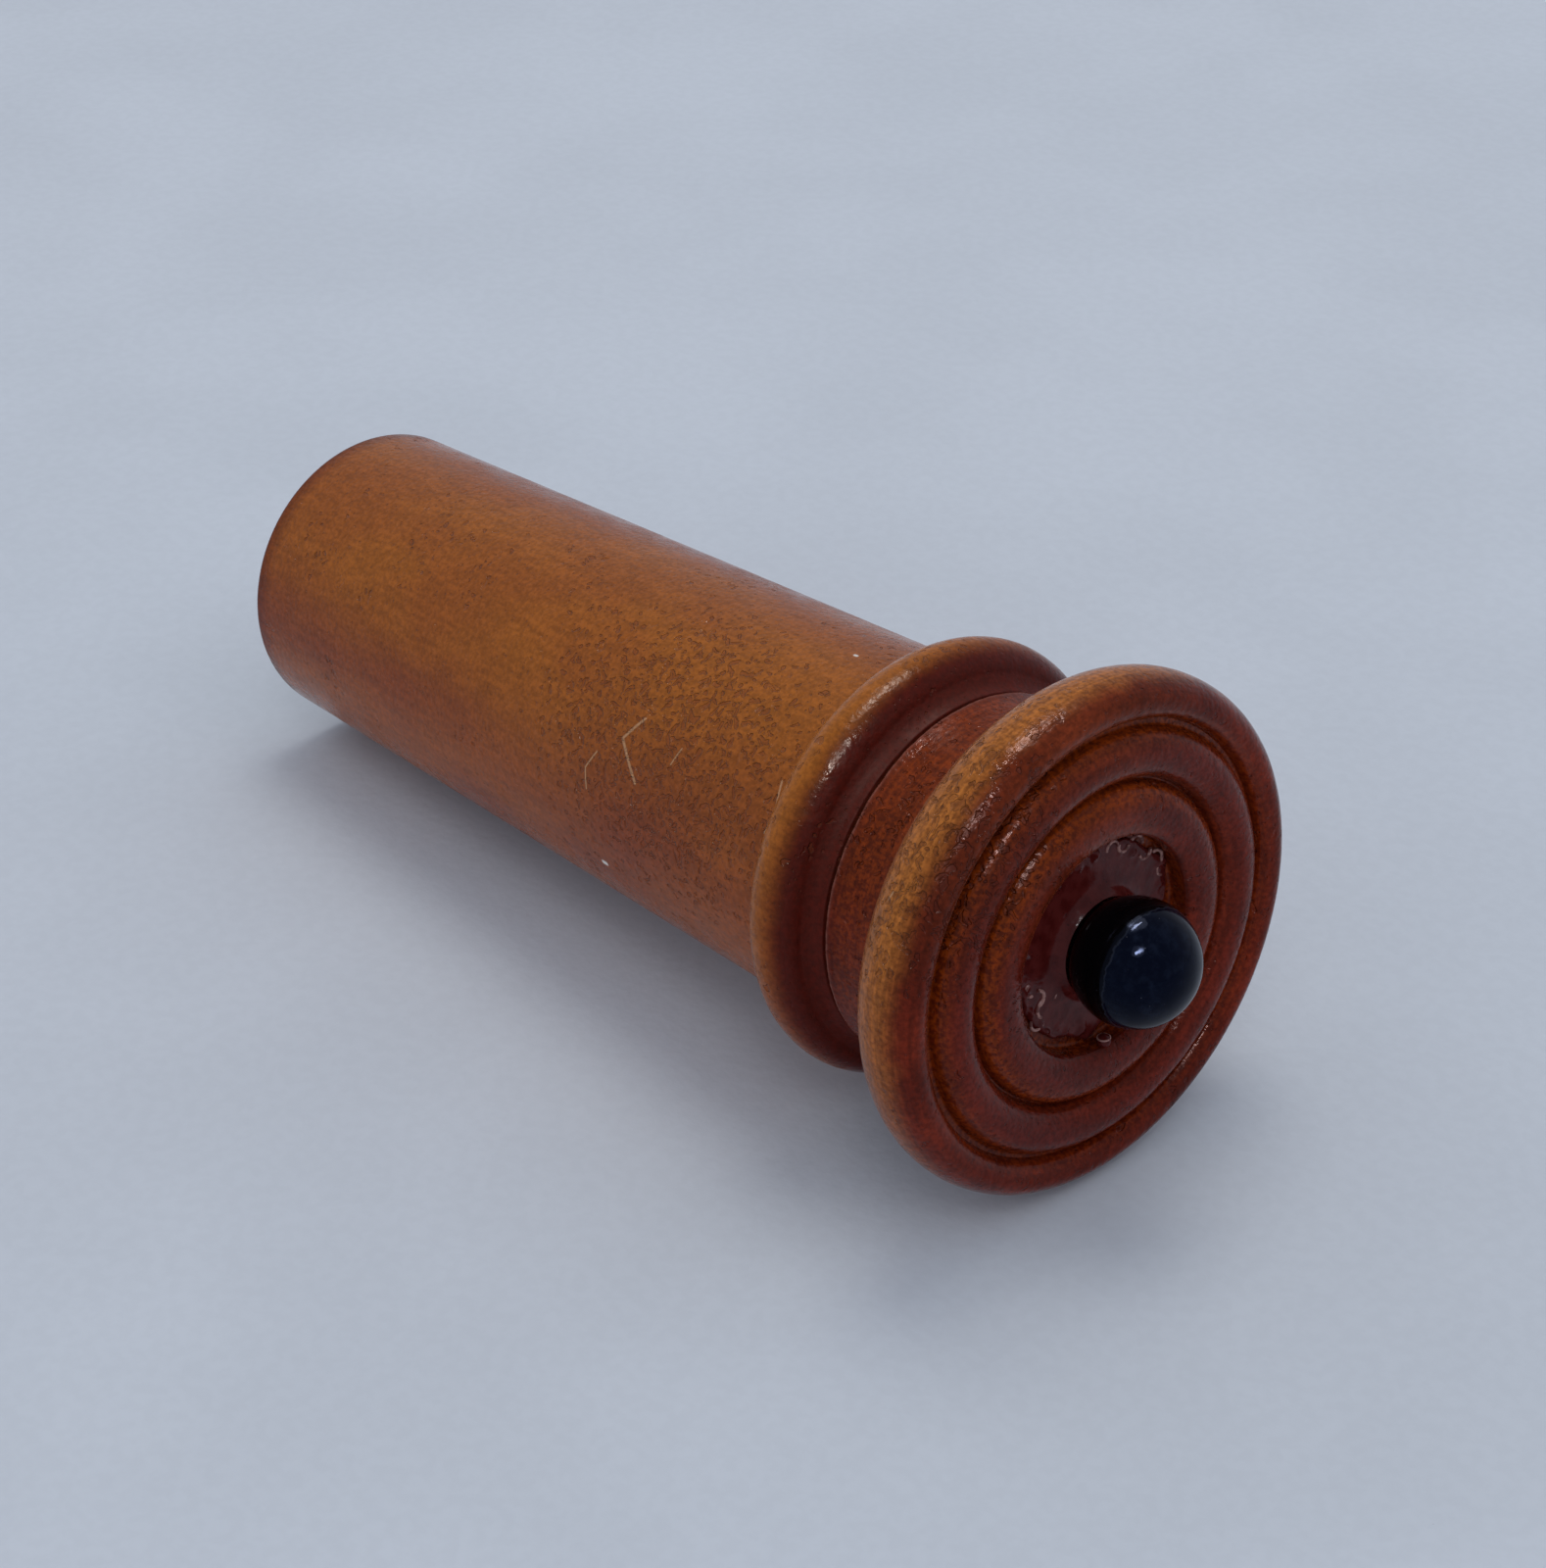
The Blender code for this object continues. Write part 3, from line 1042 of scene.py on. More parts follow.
@dataclass(frozen=True)
class ClearGlue(Finish):
    """A glossy skin of set glue over the stained wood."""

    name: str = "clear_glue_finish"
    over_wood: Colour = (0.105, 0.014, 0.012)
    thick: Colour = (0.072, 0.007, 0.006)
    dirt: Colour = (0.012, 0.003, 0.003)
    # Pale pink of the threads: painted highlight standing in for their glints.
    thread: Colour = (0.42, 0.22, 0.19)

    def lay_out(self, bench: Bench, point: object) -> None:
        """Link the finish's nodes.

        Args:
            bench: Where the finish is laid out.
            point: The upright point.
        """
        cloud = bench.span(bench.noise(point, 0.9, 3.0), 0.35, 0.65)
        colour = bench.blend(cloud, self.thick, self.over_wood)
        dirt = bench.strokes(point, Stroke(0.6, 0.14, 0.08))
        colour = bench.blend(bench.product(dirt, 0.5), colour, self.dirt)
        broken = bench.span(bench.noise(point, 1.8), 0.42, 0.56, 0.25, 1.0)
        # The threads and the bubble's ring painted pale: painted highlights.
        threads = bench.product(bench.attribute("edge"), broken)
        colour = bench.blend(threads, colour, self.thread)
        rough = bench.span(bench.noise(point, 1.4, 3.0), 0.3, 0.7, 0.10, 0.22)
        normal = bench.bump(bench.noise(point, 0.8, 2.0), 0.06)
        normal = bench.bump(bench.noise(point, 4.0, 2.0), 0.012, normal)
        bench.set(base_color=colour, roughness=rough, normal=normal, ior=1.5)
        bench.set(specular_ior_level=0.13, coat_weight=0.02, coat_roughness=0.05)


@dataclass(frozen=True)
class FibrousCard(Finish):
    """Dark card or felt with short fibres."""

    dark: Colour
    light: Colour
    roughness: float
    nap: float

    def lay_out(self, bench: Bench, point: object) -> None:
        """Link the finish's nodes.

        Args:
            bench: Where the finish is laid out.
            point: The upright point.
        """
        short = bench.strokes(point, Stroke(0.34, 0.30, 0.045, 0.6))
        moved = bench.vector("ADD", point, (3.1, 5.2, 1.7))
        fibres = bench.largest([short, bench.strokes(moved, Stroke(0.45, 0.36, 0.05, 0.8))])
        cloud = bench.span(bench.noise(point, 0.6, 4.0), 0.35, 0.65)
        colour = bench.blend(bench.product(cloud, 0.5), self.dark, self.light)
        colour = bench.blend(bench.product(fibres, 0.6), colour, self.light)
        rough = bench.span(cloud, 0.0, 1.0, self.roughness - 0.08, self.roughness + 0.05)
        normal = bench.bump(bench.noise(point, 3.0, 3.0), 0.4 * self.nap)
        normal = bench.bump(fibres, self.nap, normal)
        bench.set(base_color=colour, roughness=rough, normal=normal)


@dataclass(frozen=True)
class DrawnWire(Finish):
    """Bright spring wire with drawing lines and a little tarnish."""

    name: str = "spring_wire_finish"
    bright: Colour = (0.60, 0.60, 0.58)
    dull: Colour = (0.33, 0.29, 0.24)

    def lay_out(self, bench: Bench, point: object) -> None:
        """Link the finish's nodes.

        Args:
            bench: Where the finish is laid out.
            point: The upright point.
        """
        lines = bench.noise(bench.vector("MULTIPLY", point, (0.5, 0.5, 14.0)), 1.0, 3.0)
        tarnish = bench.span(bench.noise(point, 0.7, 4.0), 0.42, 0.66)
        colour = bench.blend(tarnish, self.bright, self.dull)
        rough = bench.span(tarnish, 0.0, 1.0, 0.24, 0.46)
        normal = bench.bump(lines, 0.02)
        bench.set(base_color=colour, roughness=rough, metallic=1.0, normal=normal)


@dataclass(frozen=True)
class MirrorFace(Finish):
    """Silvered strip under a faint haze and fine dust."""

    tint: Colour = (0.86, 0.88, 0.87)
    dust: Colour = (0.45, 0.44, 0.42)

    def lay_out(self, bench: Bench, point: object) -> None:
        """Link the finish's nodes.

        Args:
            bench: Where the finish is laid out.
            point: The upright point.
        """
        haze = bench.span(bench.noise(point, 0.25, 4.0), 0.40, 0.70)
        dust = bench.strokes(point, Stroke(0.8, 0.06, 0.05))
        colour = bench.blend(bench.product(dust, 0.4), self.tint, self.dust)
        rough = bench.maths("ADD", bench.product(haze, 0.05), bench.product(dust, 0.3))
        rough = bench.maths("ADD", rough, 0.025)
        normal = bench.bump(haze, 0.003)
        bench.set(base_color=colour, roughness=rough, metallic=1.0, normal=normal)


@dataclass(frozen=True)
class ClearWindow(Finish):
    """A clear cover disc with faint wiping marks."""

    name: str = "clear_window_finish"
    clean: Colour = (0.94, 0.96, 0.96)
    wiped: Colour = (0.88, 0.91, 0.92)

    def lay_out(self, bench: Bench, point: object) -> None:
        """Link the finish's nodes.

        Args:
            bench: Where the finish is laid out.
            point: The upright point.
        """
        stretched = bench.vector("MULTIPLY", point, (1.0, 0.2, 1.0))
        wiped = bench.span(bench.noise(stretched, 1.2, 4.0), 0.40, 0.70)
        rough = bench.maths("ADD", bench.product(wiped, 0.08), 0.02)
        colour = bench.blend(wiped, self.clean, self.wiped)
        bench.set(base_color=colour, roughness=rough, normal=bench.bump(wiped, 0.002))
        bench.set(ior=1.49, transmission_weight=1.0)


@dataclass
class Barrel:
    """The plain tube with its grip bead, bore and socket."""

    fitting: Fitting
    end_radius: float = 13.2
    front_radius: float = 15.0
    length: float = 76.6
    end_round: float = 0.5
    bead_radius: float = 2.5
    bead_centre: Point = (15.5, 72.8)
    bore: float = 9.9
    seat: Point = (11.1, 3.5)
    socket: Point = (12.5, 62.5)
    clip_height: float = 73.5
    clip_groove: Point = (0.7, 0.9)
    wobble: float = 0.03
    bead_foot: float = 70.3
    lip_height: float = 70.42
    # Where the gold with painted light on the bead's back fades.
    rub_and_light_to: Point = (71.9, 74.7)
    # Where the painted shade on the bead's front and in the valley to the seam begins.
    shaded_from: Point = (72.3, 74.8)
    dull_from: Point = (74.4, 75.2)
    # Width of the painted shade round the eye end's rim.
    end_shade: float = 0.75

    def section(self) -> list[Point]:
        """The closed half section of the barrel.

        Returns:
            Points of radius and height.
        """
        rise = self.bead_centre[0] - self.front_radius
        meet = math.degrees(math.acos(-rise / self.bead_radius))
        bead = arc(self.bead_centre, (self.bead_radius, self.bead_radius), -meet, 78.0, 44)
        soft = (self.end_round, self.end_round)
        rim = arc((self.end_radius - self.end_round, self.end_round), soft, -90.0, 0.0, 8)
        foot = (bead[0][0] - 0.008, bead[0][1] - 0.22)
        points = [(self.seat[0], 0.0), *line((self.seat[0], 0.0), rim[0], 3), *rim[1:]]
        points += line(rim[-1], foot, 40)
        points += flowing([foot, (bead[0][0] + 0.02, bead[0][1] - 0.04), bead[1]], 3)[1:]
        points += bead[2:]
        top = self.length
        cove = [
            bead[-1],
            (self.front_radius + 0.48, top - 1.0),
            (self.front_radius + 0.15, top - 0.6),
            (self.front_radius, top - 0.1),
            (self.front_radius - 0.12, top),
        ]
        points += flowing(cove, 4)[1:]
        groove, half = self.clip_groove
        inner = [
            (self.socket[0] + 0.15, top),
            (self.socket[0], top - 0.15),
            (self.socket[0], self.clip_height + half),
            (self.socket[0] + groove, self.clip_height + half),
            (self.socket[0] + groove, self.clip_height - half),
            (self.socket[0], self.clip_height - half),
            self.socket,
            (self.bore, self.socket[1]),
            (self.bore, self.seat[1]),
            (self.seat[0], self.seat[1]),
            (self.seat[0], 0.15),
            (self.seat[0] + 0.15, 0.0),
        ]
        return [(radius * ROUND_FIT, height) for radius, height in points[1:] + inner]

    def build(self, wood: bpy.types.Material) -> bpy.types.Object:
        """Turn the barrel and dress it.

        Args:
            wood: Its finish.

        Returns:
            The piece.
        """
        section = self.section()
        work = Lathe(192).turn(section)
        mark_outline(work, section)
        rub_and_light, shade, edge, dull = add_layers(work, "rub_and_light", "shade", "edge", "dull")
        for vert in work.verts:
            radius = math.hypot(vert.co.x, vert.co.y)
            vert[dull] = step(vert.co.z, *self.dull_from)
            if radius > self.end_radius - 1.0 and vert.co.z < self.length - 1.2:
                swell = grain(vert.co, 0.12, 0.05 * vert.co.z)
                vert.co.xy *= 1.0 - self.wobble * (0.5 + 0.5 * swell) / radius
            side = lit_side(vert.co)
            height = vert.co.z
            patchy = height + 0.22 * grain(vert.co, 0.8, 3.0)
            # Gold of wear with painted light on the lamp side, and painted shade, for each point.
            vert[rub_and_light] = self._rub_and_light(radius, patchy, side)
            vert[shade] = self._shade(radius, patchy if height > 60.0 else height, side)
            outside = radius > self.front_radius - 0.2
            # Painted highlight: a pale line on the lip at the bead's foot.
            vert[edge] = 0.8 * bell(height, self.lip_height, 0.13) * outside
        return self.fitting.place(
            work, "turned_barrel", wood, Body.BARREL, Slot.BARREL_WOOD, "barrel"
        )

    def _rub_and_light(self, radius: float, height: float, side: float) -> float:
        """How golden the back of the bead is: wear from handling, with painted light on the side
        that faces the lamps.

        Args:
            radius: Distance from the axis.
            height: Height along the axis.
            side: How much this side faces the lamps.

        Returns:
            The strength of the golden tone, from 0 to 1.
        """
        if radius < self.front_radius - 0.2 or height < self.bead_foot:
            return 0.0
        return (0.10 + 0.88 * side) * (1.0 - step(height, *self.rub_and_light_to))

    def _shade(self, radius: float, height: float, side: float) -> float:
        """How much painted shade lies at the eye end's rim, on the bead and in the valley to the
        seam.

        Args:
            radius: Distance from the axis.
            height: Height along the axis.
            side: How much this side faces the lamps.

        Returns:
            The strength of the painted shade, from 0 to 1.
        """
        # Painted shade: the bead's side away from the lamps, its front and the valley by the seam,
        # and the eye end's rim.
        bead = step(height, self.bead_foot, self.bead_foot + 0.7) * (0.46 - 0.40 * side)
        front = step(height, *self.shaded_from)
        end = bell(height, 0.0, self.end_shade)
        return min(1.0, max(bead, front) * (radius > 14.0) + end)


@dataclass
class Head:
    """The turned lens end: tenon, neck, ringed flange and recess."""

    fitting: Fitting
    seam: float = 76.9
    neck: Point = (15.0, 14.6)
    flange_radius: float = 21.0
    flange_height: float = 88.6
    flange_back: Point = (3.55, 4.0)
    flange_front: Point = (1.8, 2.85)
    outer_crease: Point = (17.7, 90.1)
    ring_centre: Point = (15.15, 90.2)
    ring_half: Point = (1.95, 1.75)
    inner_crease: Point = (12.9, 90.3)
    dish_crest: Point = (10.8, 92.0)
    recess: Point = (8.85, 91.3)
    floor_height: float = 89.7
    lens_hole: float = 2.1
    bore: Point = (9.9, 85.5)
    tenon: Point = (12.2, 63.0)
    band_groove: tuple[float, float, float] = (11.3, 65.5, 70.5)
    clip_height: float = 73.5
    clip_groove: Point = (0.7, 0.9)
    face_height: float = 89.5
    ripple: float = 0.11
    orange_neck: tuple[float, float, float, float] = (77.0, 78.2, 82.0, 84.0)
    # Where the gold with painted light on the flange's rim starts and fades.
    rub_and_light_rim: Point = (18.0, 19.8)
    rub_and_light_to: Point = (88.6, 90.9)

    def section(self) -> list[Point]:
        """The closed half section of the head.

        Returns:
            Points of radius and height.
        """
        seam, (neck, waist) = self.seam, self.neck
        foot = [
            (neck - 0.25, seam),
            (neck - 0.04, seam + 0.06),
            (neck + 0.06, seam + 0.25),
            (neck - 0.1, seam + 1.0),
            (waist + 0.1, seam + 2.4),
            (waist, seam + 4.2),
            (waist + 0.2, seam + 5.8),
            (waist + 0.75, seam + 6.9),
            (waist + 1.7, seam + 7.5),
        ]
        points = [(self.tenon[0] + 0.15, seam), *flowing(foot, 5)]
        drop, length = self.flange_back
        middle = (self.flange_radius - drop, self.flange_height)
        points += arc(middle, (drop, length), -90.0, 0.0, 30)
        drop, length = self.flange_front
        crest = self.flange_radius - drop
        points += arc((crest, self.flange_height), (drop, length), 0.0, 90.0, 22)[1:]
        foot_radius, low = self.outer_crease
        inward = (crest - foot_radius, self.flange_height + length - low)
        points += arc((crest, low), inward, 90.0, 176.0, 14)[1:]
        crease = [
            points[-1],
            (self.outer_crease[0] - 0.06, self.outer_crease[1] - 0.03),
            (17.3, 90.06),
            (17.12, 90.2),
        ]
        points += flowing(crease, 2)[1:]
        points += arc(self.ring_centre, self.ring_half, 3.0, 177.0, 34)
        points += [(13.1, 90.15), (12.98, 90.17)]
        (foot_radius, low), (crest, high) = self.inner_crease, self.dish_crest
        points += arc((crest, low), (foot_radius - crest, high - low), 1.0, 90.0, 20)
        radius, lip = self.recess
        dish = [points[-1], (10.1, 91.96), (9.5, 91.81), (radius + 0.22, lip + 0.3), (radius, lip)]
        points += flowing(dish, 5)[1:]
        points += line((radius, lip), (radius - 0.05, self.floor_height + 0.35), 4)
        points += arc((radius - 0.35, self.floor_height + 0.3), (0.3, 0.3), -5.0, -90.0, 4)
        points += line((radius - 0.35, self.floor_height), (self.lens_hole, self.floor_height), 8)
        points += [(self.lens_hole, self.bore[1]), self.bore, (self.bore[0], self.tenon[1])]
        tenon, back = self.tenon
        depth, half = self.clip_groove
        groove, low, high = self.band_groove
        points += [
            (tenon - 0.4, back),
            (tenon, back + 0.4),
            (tenon, low),
            (groove, low),
            (groove, high),
            (tenon, high),
            (tenon, self.clip_height - half),
            (tenon - depth, self.clip_height - half),
            (tenon - depth, self.clip_height + half),
            (tenon, self.clip_height + half),
            (tenon, seam - 0.15),
        ]
        return [(radius * ROUND_FIT, height) for radius, height in points]

    def build(self, wood: bpy.types.Material) -> bpy.types.Object:
        """Turn the head and dress it.

        Args:
            wood: Its finish.

        Returns:
            The piece.
        """
        section = self.section()
        work = Lathe(224).turn(section)
        mark_outline(work, section)
        thin_stain_and_light, rub_and_light, shade, edge = add_layers(work, "thin_stain_and_light", "rub_and_light", "shade", "edge")
        for vert in work.verts:
            radius = math.hypot(vert.co.x, vert.co.y)
            side = lit_side(vert.co)
            height = vert.co.z
            patchy = height + 0.5 * grain(vert.co, 0.5, 9.0)
            # Each point's orange and gold, both with painted light, its painted shade and its
            # painted highlight.
            vert[thin_stain_and_light] = self._thin_stain_and_light(radius, height, side)
            vert[rub_and_light] = self._rub_and_light(radius, patchy, side)
            vert[shade] = self._shade(radius, height)
            vert[edge] = self._lip_highlight(radius, height, side)
            if radius > 14.0 and height < self.seam + 0.7:
                wave = grain(vert.co, 0.33, 2.0) + 0.5 * grain(vert.co, 1.1, 5.0)
                vert.co.z += self.ripple * wave
        return self.fitting.place(work, "turned_head", wood, Body.HEAD, Slot.HEAD_WOOD, "head")

    def _thin_stain_and_light(self, radius: float, height: float, side: float) -> float:
        """How orange the creases and the neck are: thin stain, with painted light on the side that
        faces the lamps.

        Args:
            radius: Distance from the axis.
            height: Height along the axis.
            side: How much this side faces the lamps.

        Returns:
            The strength of the orange tone, from 0 to 1.
        """
        if height > self.face_height - 0.1:
            crease = bell(radius, self.outer_crease[0] - 0.45, 0.80)
            crease += bell(radius, self.inner_crease[0] - 0.40, 0.78)
            wall = bell(radius, self.recess[0] - 0.3, 0.5) * (height < 91.0)
            # Stronger on the side that faces the lamps: painted light.
            return min(1.0, crease * (0.55 + 0.45 * side) + 0.7 * wall)
        low, full, fading, high = self.orange_neck
        neck = step(height, low, full) * (1.0 - step(height, fading, high))
        # Round the neck too, stronger on the lamp side: painted light.
        return (0.20 + 0.35 * side) * neck * (13.0 < radius < 16.0)

    def _rub_and_light(self, radius: float, height: float, side: float) -> float:
        """How golden the flange's rim is: wear from handling, with painted light on the side that
        faces the lamps.

        Args:
            radius: Distance from the axis.
            height: Height along the axis.
            side: How much this side faces the lamps.

        Returns:
            The strength of the golden tone, from 0 to 1.
        """
        outer = step(radius, *self.rub_and_light_rim)
        back = 1.0 - step(height, *self.rub_and_light_to)
        return min(1.0, (0.06 + 1.05 * side)) * outer * back

    def _shade(self, radius: float, height: float) -> float:
        """How much painted shade lies under the flange and on the rings.

        Args:
            radius: Distance from the axis.
            height: Height along the axis.

        Returns:
            The strength of the painted shade, from 0 to 1.
        """
        # Painted shade under the flange's overhang and on the ring and dish crests.
        under = bell(height, 84.6, 1.4) * (radius < 18.8)
        rings = 0.5 * (bell(radius, 15.1, 1.4) + bell(radius, 10.4, 1.3)) * (height > 90.5)
        return min(1.0, 0.8 * under + rings)

    def _lip_highlight(self, radius: float, height: float, side: float) -> float:
        """How strong the painted highlights are on the pale lips of the neck, the creases and the
        flange's back.

        Args:
            radius: Distance from the axis.
            height: Height along the axis.
            side: How much this side faces the lamps.

        Returns:
            The strength of the pale tone, from 0 to 1.
        """
        # Painted highlights: the neck's foot lip, and the crease lips and the flange's back
        # stronger on the lamp side.
        foot = bell(height, self.seam + 0.18, 0.12) * (radius > 14.0)
        lips = 0.45 * bell(radius, 18.35, 0.16) + 0.40 * bell(radius, 13.32, 0.13)
        back = 0.55 * bell(height, 85.75, 0.55) * (radius > 18.6)
        return min(1.0, 0.75 * foot + (lips * (height > self.face_height + 0.1) + back) * side)


@dataclass
class BallLens:
    """The glass ball that gathers the picture."""

    fitting: Fitting
    radius: float = 4.97
    height: float = 94.4
    cap_rise: float = 1.2
    seam_depth: float = 0.018
    spans: int = 96

    def build(self, glass: bpy.types.Material) -> bpy.types.Object:
        """Grind the ball, with the faint seam where its blackened back ends.

        Args:
            glass: Its finish.

        Returns:
            The piece.
        """
        profile = []
        for index in range(self.spans + 1):
            angle = math.pi * index / self.spans - 0.5 * math.pi
            rise = self.radius * math.sin(angle)
            radius = self.radius - self.seam_depth * bell(rise, self.cap_rise, 0.09)
            across = 0.0 if index in (0, self.spans) else radius * math.cos(angle)
            profile.append((across, self.height + radius * math.sin(angle)))
        work = Lathe(144).turn_open(profile)
        return self.fitting.place(
            work, "glass_ball", glass, Body.HEAD, Slot.BALL_GLASS, "ball_lens"
        )


@dataclass
class GlueFilm:
    """The clear glue that ran over the recess floor when the ball was set.

    A drip is an angle and a width in radians, where the film reaches the wall.
    A thread is a bent rod: the middle of its arc, the arc's radius, start and
    sweep in degrees, and the thread's radius. The bubble is a point and a radius.
    """

    fitting: Fitting
    floor: float = 89.72
    outline: float = 7.95
    wall: float = 8.74
    thickness: float = 0.36
    ragged_from: float = 5.6
    wrinkled_from: float = 4.9
    drips: tuple = (
        (math.radians(-4.0), 0.11),
        (math.radians(112.0), 0.16),
        (math.radians(-92.0), 0.10),
    )
    threads: tuple = (
        (1.2, -6.6, 90.08, 0.55, 200.0, 170.0, 0.14),
        (2.3, -6.0, 90.10, 0.70, 20.0, 150.0, 0.16),
        (3.4, -5.2, 90.10, 0.80, 190.0, 140.0, 0.14),
        (3.2, -3.6, 90.08, 0.60, 60.0, 200.0, 0.13),
        (4.3, -5.9, 90.02, 0.75, 250.0, 160.0, 0.13),
        (0.2, -7.6, 90.00, 0.80, 300.0, 120.0, 0.13),
        (-7.0, 2.2, 90.06, 0.60, 100.0, 170.0, 0.13),
        (-6.8, 3.4, 90.08, 0.55, 240.0, 190.0, 0.14),
        (-6.3, 4.7, 90.08, 0.70, 70.0, 150.0, 0.14),
        (-5.2, 5.7, 90.06, 0.60, 280.0, 170.0, 0.14),
        (-4.0, 6.8, 90.04, 0.75, 40.0, 160.0, 0.14),
        (-2.9, 7.6, 90.00, 0.60, 200.0, 150.0, 0.13),
        (6.3, 4.3, 90.02, 0.70, 10.0, 150.0, 0.13),
    )
    bubble: tuple[float, float, float, float] = (8.62, 0.05, 91.0, 0.58)

    def section(self) -> list[Point]:
        """The closed half section of the film.

        Returns:
            Points of radius and height.
        """
        floor, edge = self.floor, self.outline
        top = [
            (edge, floor + 0.06),
            (edge - 0.05, floor + 0.2),
            (edge - 0.3, floor + 0.34),
            (edge - 0.8, floor + 0.36),
            (6.0, floor + 0.37),
            (5.2, floor + 0.42),
            (4.6, floor + 0.62),
            (4.15, floor + 1.1),
            (3.95, floor + 1.36),
        ]
        curve = flowing(top, 6)
        hole = (2.45, floor)
        under_ball = [(3.72, floor + 1.2), (3.2, floor + 0.72)]
        return [hole, *line(hole, (edge, floor), 12), *curve, *under_ball]

    def build(self, glue: bpy.types.Material) -> bpy.types.Object:
        """Pour the film and let it set with a ragged edge.

        Args:
            glue: Its finish.

        Returns:
            The piece.
        """
        work = Lathe(240).turn(self.section())
        for vert in work.verts:
            radius = math.hypot(vert.co.x, vert.co.y)
            angle = math.atan2(vert.co.y, vert.co.x)
            lift = (vert.co.z - self.floor) / self.thickness
            reach = max(0.0, (radius - self.ragged_from) / (self.outline - self.ragged_from))
            vert.co.xy *= 1.0 + reach * reach * (self._ragged(angle) - 1.0)
            if lift > 0.2 and radius > self.wrinkled_from:
                vert.co.z += reach * self._ridge(angle, radius)
        (edge,) = add_layers(work, "edge")
        x, y, z, size = self.bubble
        made = bmesh.ops.create_icosphere(work, subdivisions=3, radius=size)
        bmesh.ops.translate(work, vec=(x, y, z), verts=made["verts"])
        film = len(work.verts)
        ring = Vector((x - 0.30, y, z))
        bent_rod(work, ring, size * 0.84, 0.08, 0.0, 360.0, upright=True)
        for x, y, z, bend, start, sweep, thick in self.threads:
            bent_rod(work, Vector((x, y, z)), bend, thick, start, sweep)
        work.verts.index_update()
        for vert in work.verts:
            # Mark the bubble's ring and the threads for their painted highlight.
            vert[edge] = 0.0 if vert.index < film else 1.0
        return self.fitting.place(
            work,
            "glue_film",
            glue,
            Body.HEAD,
            Slot.CLEAR_GLUE,
            "lens_glue",
            math.radians(60.0),
        )

    def _ragged(self, angle: float) -> float:
        """How far out the film's edge runs at an angle, as a share of its outline.

        Args:
            angle: The angle about the long axis.

        Returns:
            The share, near 1.
        """
        way = Vector((math.cos(angle), math.sin(angle), 0.0))
        slow = noise.noise(way * 1.7 + Vector((3.0, 1.0, 7.0)))
        quick = noise.noise(way * 6.5 + Vector((1.0, 5.0, 2.0)))
        share = 1.0 + 0.035 * slow + 0.028 * quick
        for place, width in self.drips:
            turn = math.remainder(angle - place, math.tau)
            share += (self.wall / self.outline - share) * bell(turn, 0.0, width)
        return min(self.wall / self.outline, share)

    def _ridge(self, angle: float, radius: float) -> float:
        """The height of the wrinkles near the film's edge.

        Args:
            angle: The angle about the long axis.
            radius: Distance from the axis.

        Returns:
            The height in millimetres.
        """
        way = Vector((math.cos(angle) * 9.0, math.sin(angle) * 9.0, radius * 1.4))
        wrinkle = max(0.0, noise.noise(way) - 0.05)
        near_edge = bell(radius, self.outline - 0.5, 0.7)
        return 0.8 * wrinkle * near_edge


@dataclass
class Eyepiece:
    """The card disc with the peep hole, and the clear cover behind it."""

    fitting: Fitting
    disc_radius: float = 10.8
    disc_height: Point = (0.3, 1.9)
    hole: float = 3.0
    window_height: Point = (2.2, 3.2)
    window_chamfer: float = 0.12

    def build_disc(self, card: bpy.types.Material) -> bpy.types.Object:
        """Punch the disc, with softened edges and a countersunk hole.

        Args:
            card: Its finish.

        Returns:
            The piece.
        """
        low, high = self.disc_height
        outer, hole = self.disc_radius, self.hole
        section = [
            *arc((hole + 0.55, low + 0.4), (0.55, 0.4), 180.0, 270.0, 8),
            *line((hole + 0.55, low), (outer - 0.25, low), 12),
            *arc((outer - 0.25, low + 0.25), (0.25, 0.25), -90.0, 0.0, 6)[1:],
            *arc((outer - 0.25, high - 0.25), (0.25, 0.25), 0.0, 90.0, 6),
            *line((outer - 0.25, high), (hole + 0.12, high), 8),
            (hole, high - 0.12),
        ]
        work = Lathe(128).turn(section)
        return self.fitting.place(
            work, "peep_hole_disc", card, Body.BARREL, Slot.EYE_DISC_CARD, "eye_disc"
        )

    def build_window(self, clear: bpy.types.Material) -> bpy.types.Object:
        """Cut the clear cover, with a small chamfer round it.

        Args:
            clear: Its finish.

        Returns:
            The piece.
        """
        low, high = self.window_height
        outer, cut = self.disc_radius, self.window_chamfer
        profile = [
            (0.0, low),
            *line((0.0, low), (outer - cut, low), 10),
            (outer, low + cut),
            (outer, high - cut),
            (outer - cut, high),
            *line((outer - cut, high), (0.0, high), 10),
        ]
        work = Lathe(96).turn_open(profile)
        return self.fitting.place(
            work,
            "eye_cover",
            clear,
            Body.BARREL,
            Slot.CLEAR_WINDOW,
            "eye_window",
            CRISP_LIMIT,
        )


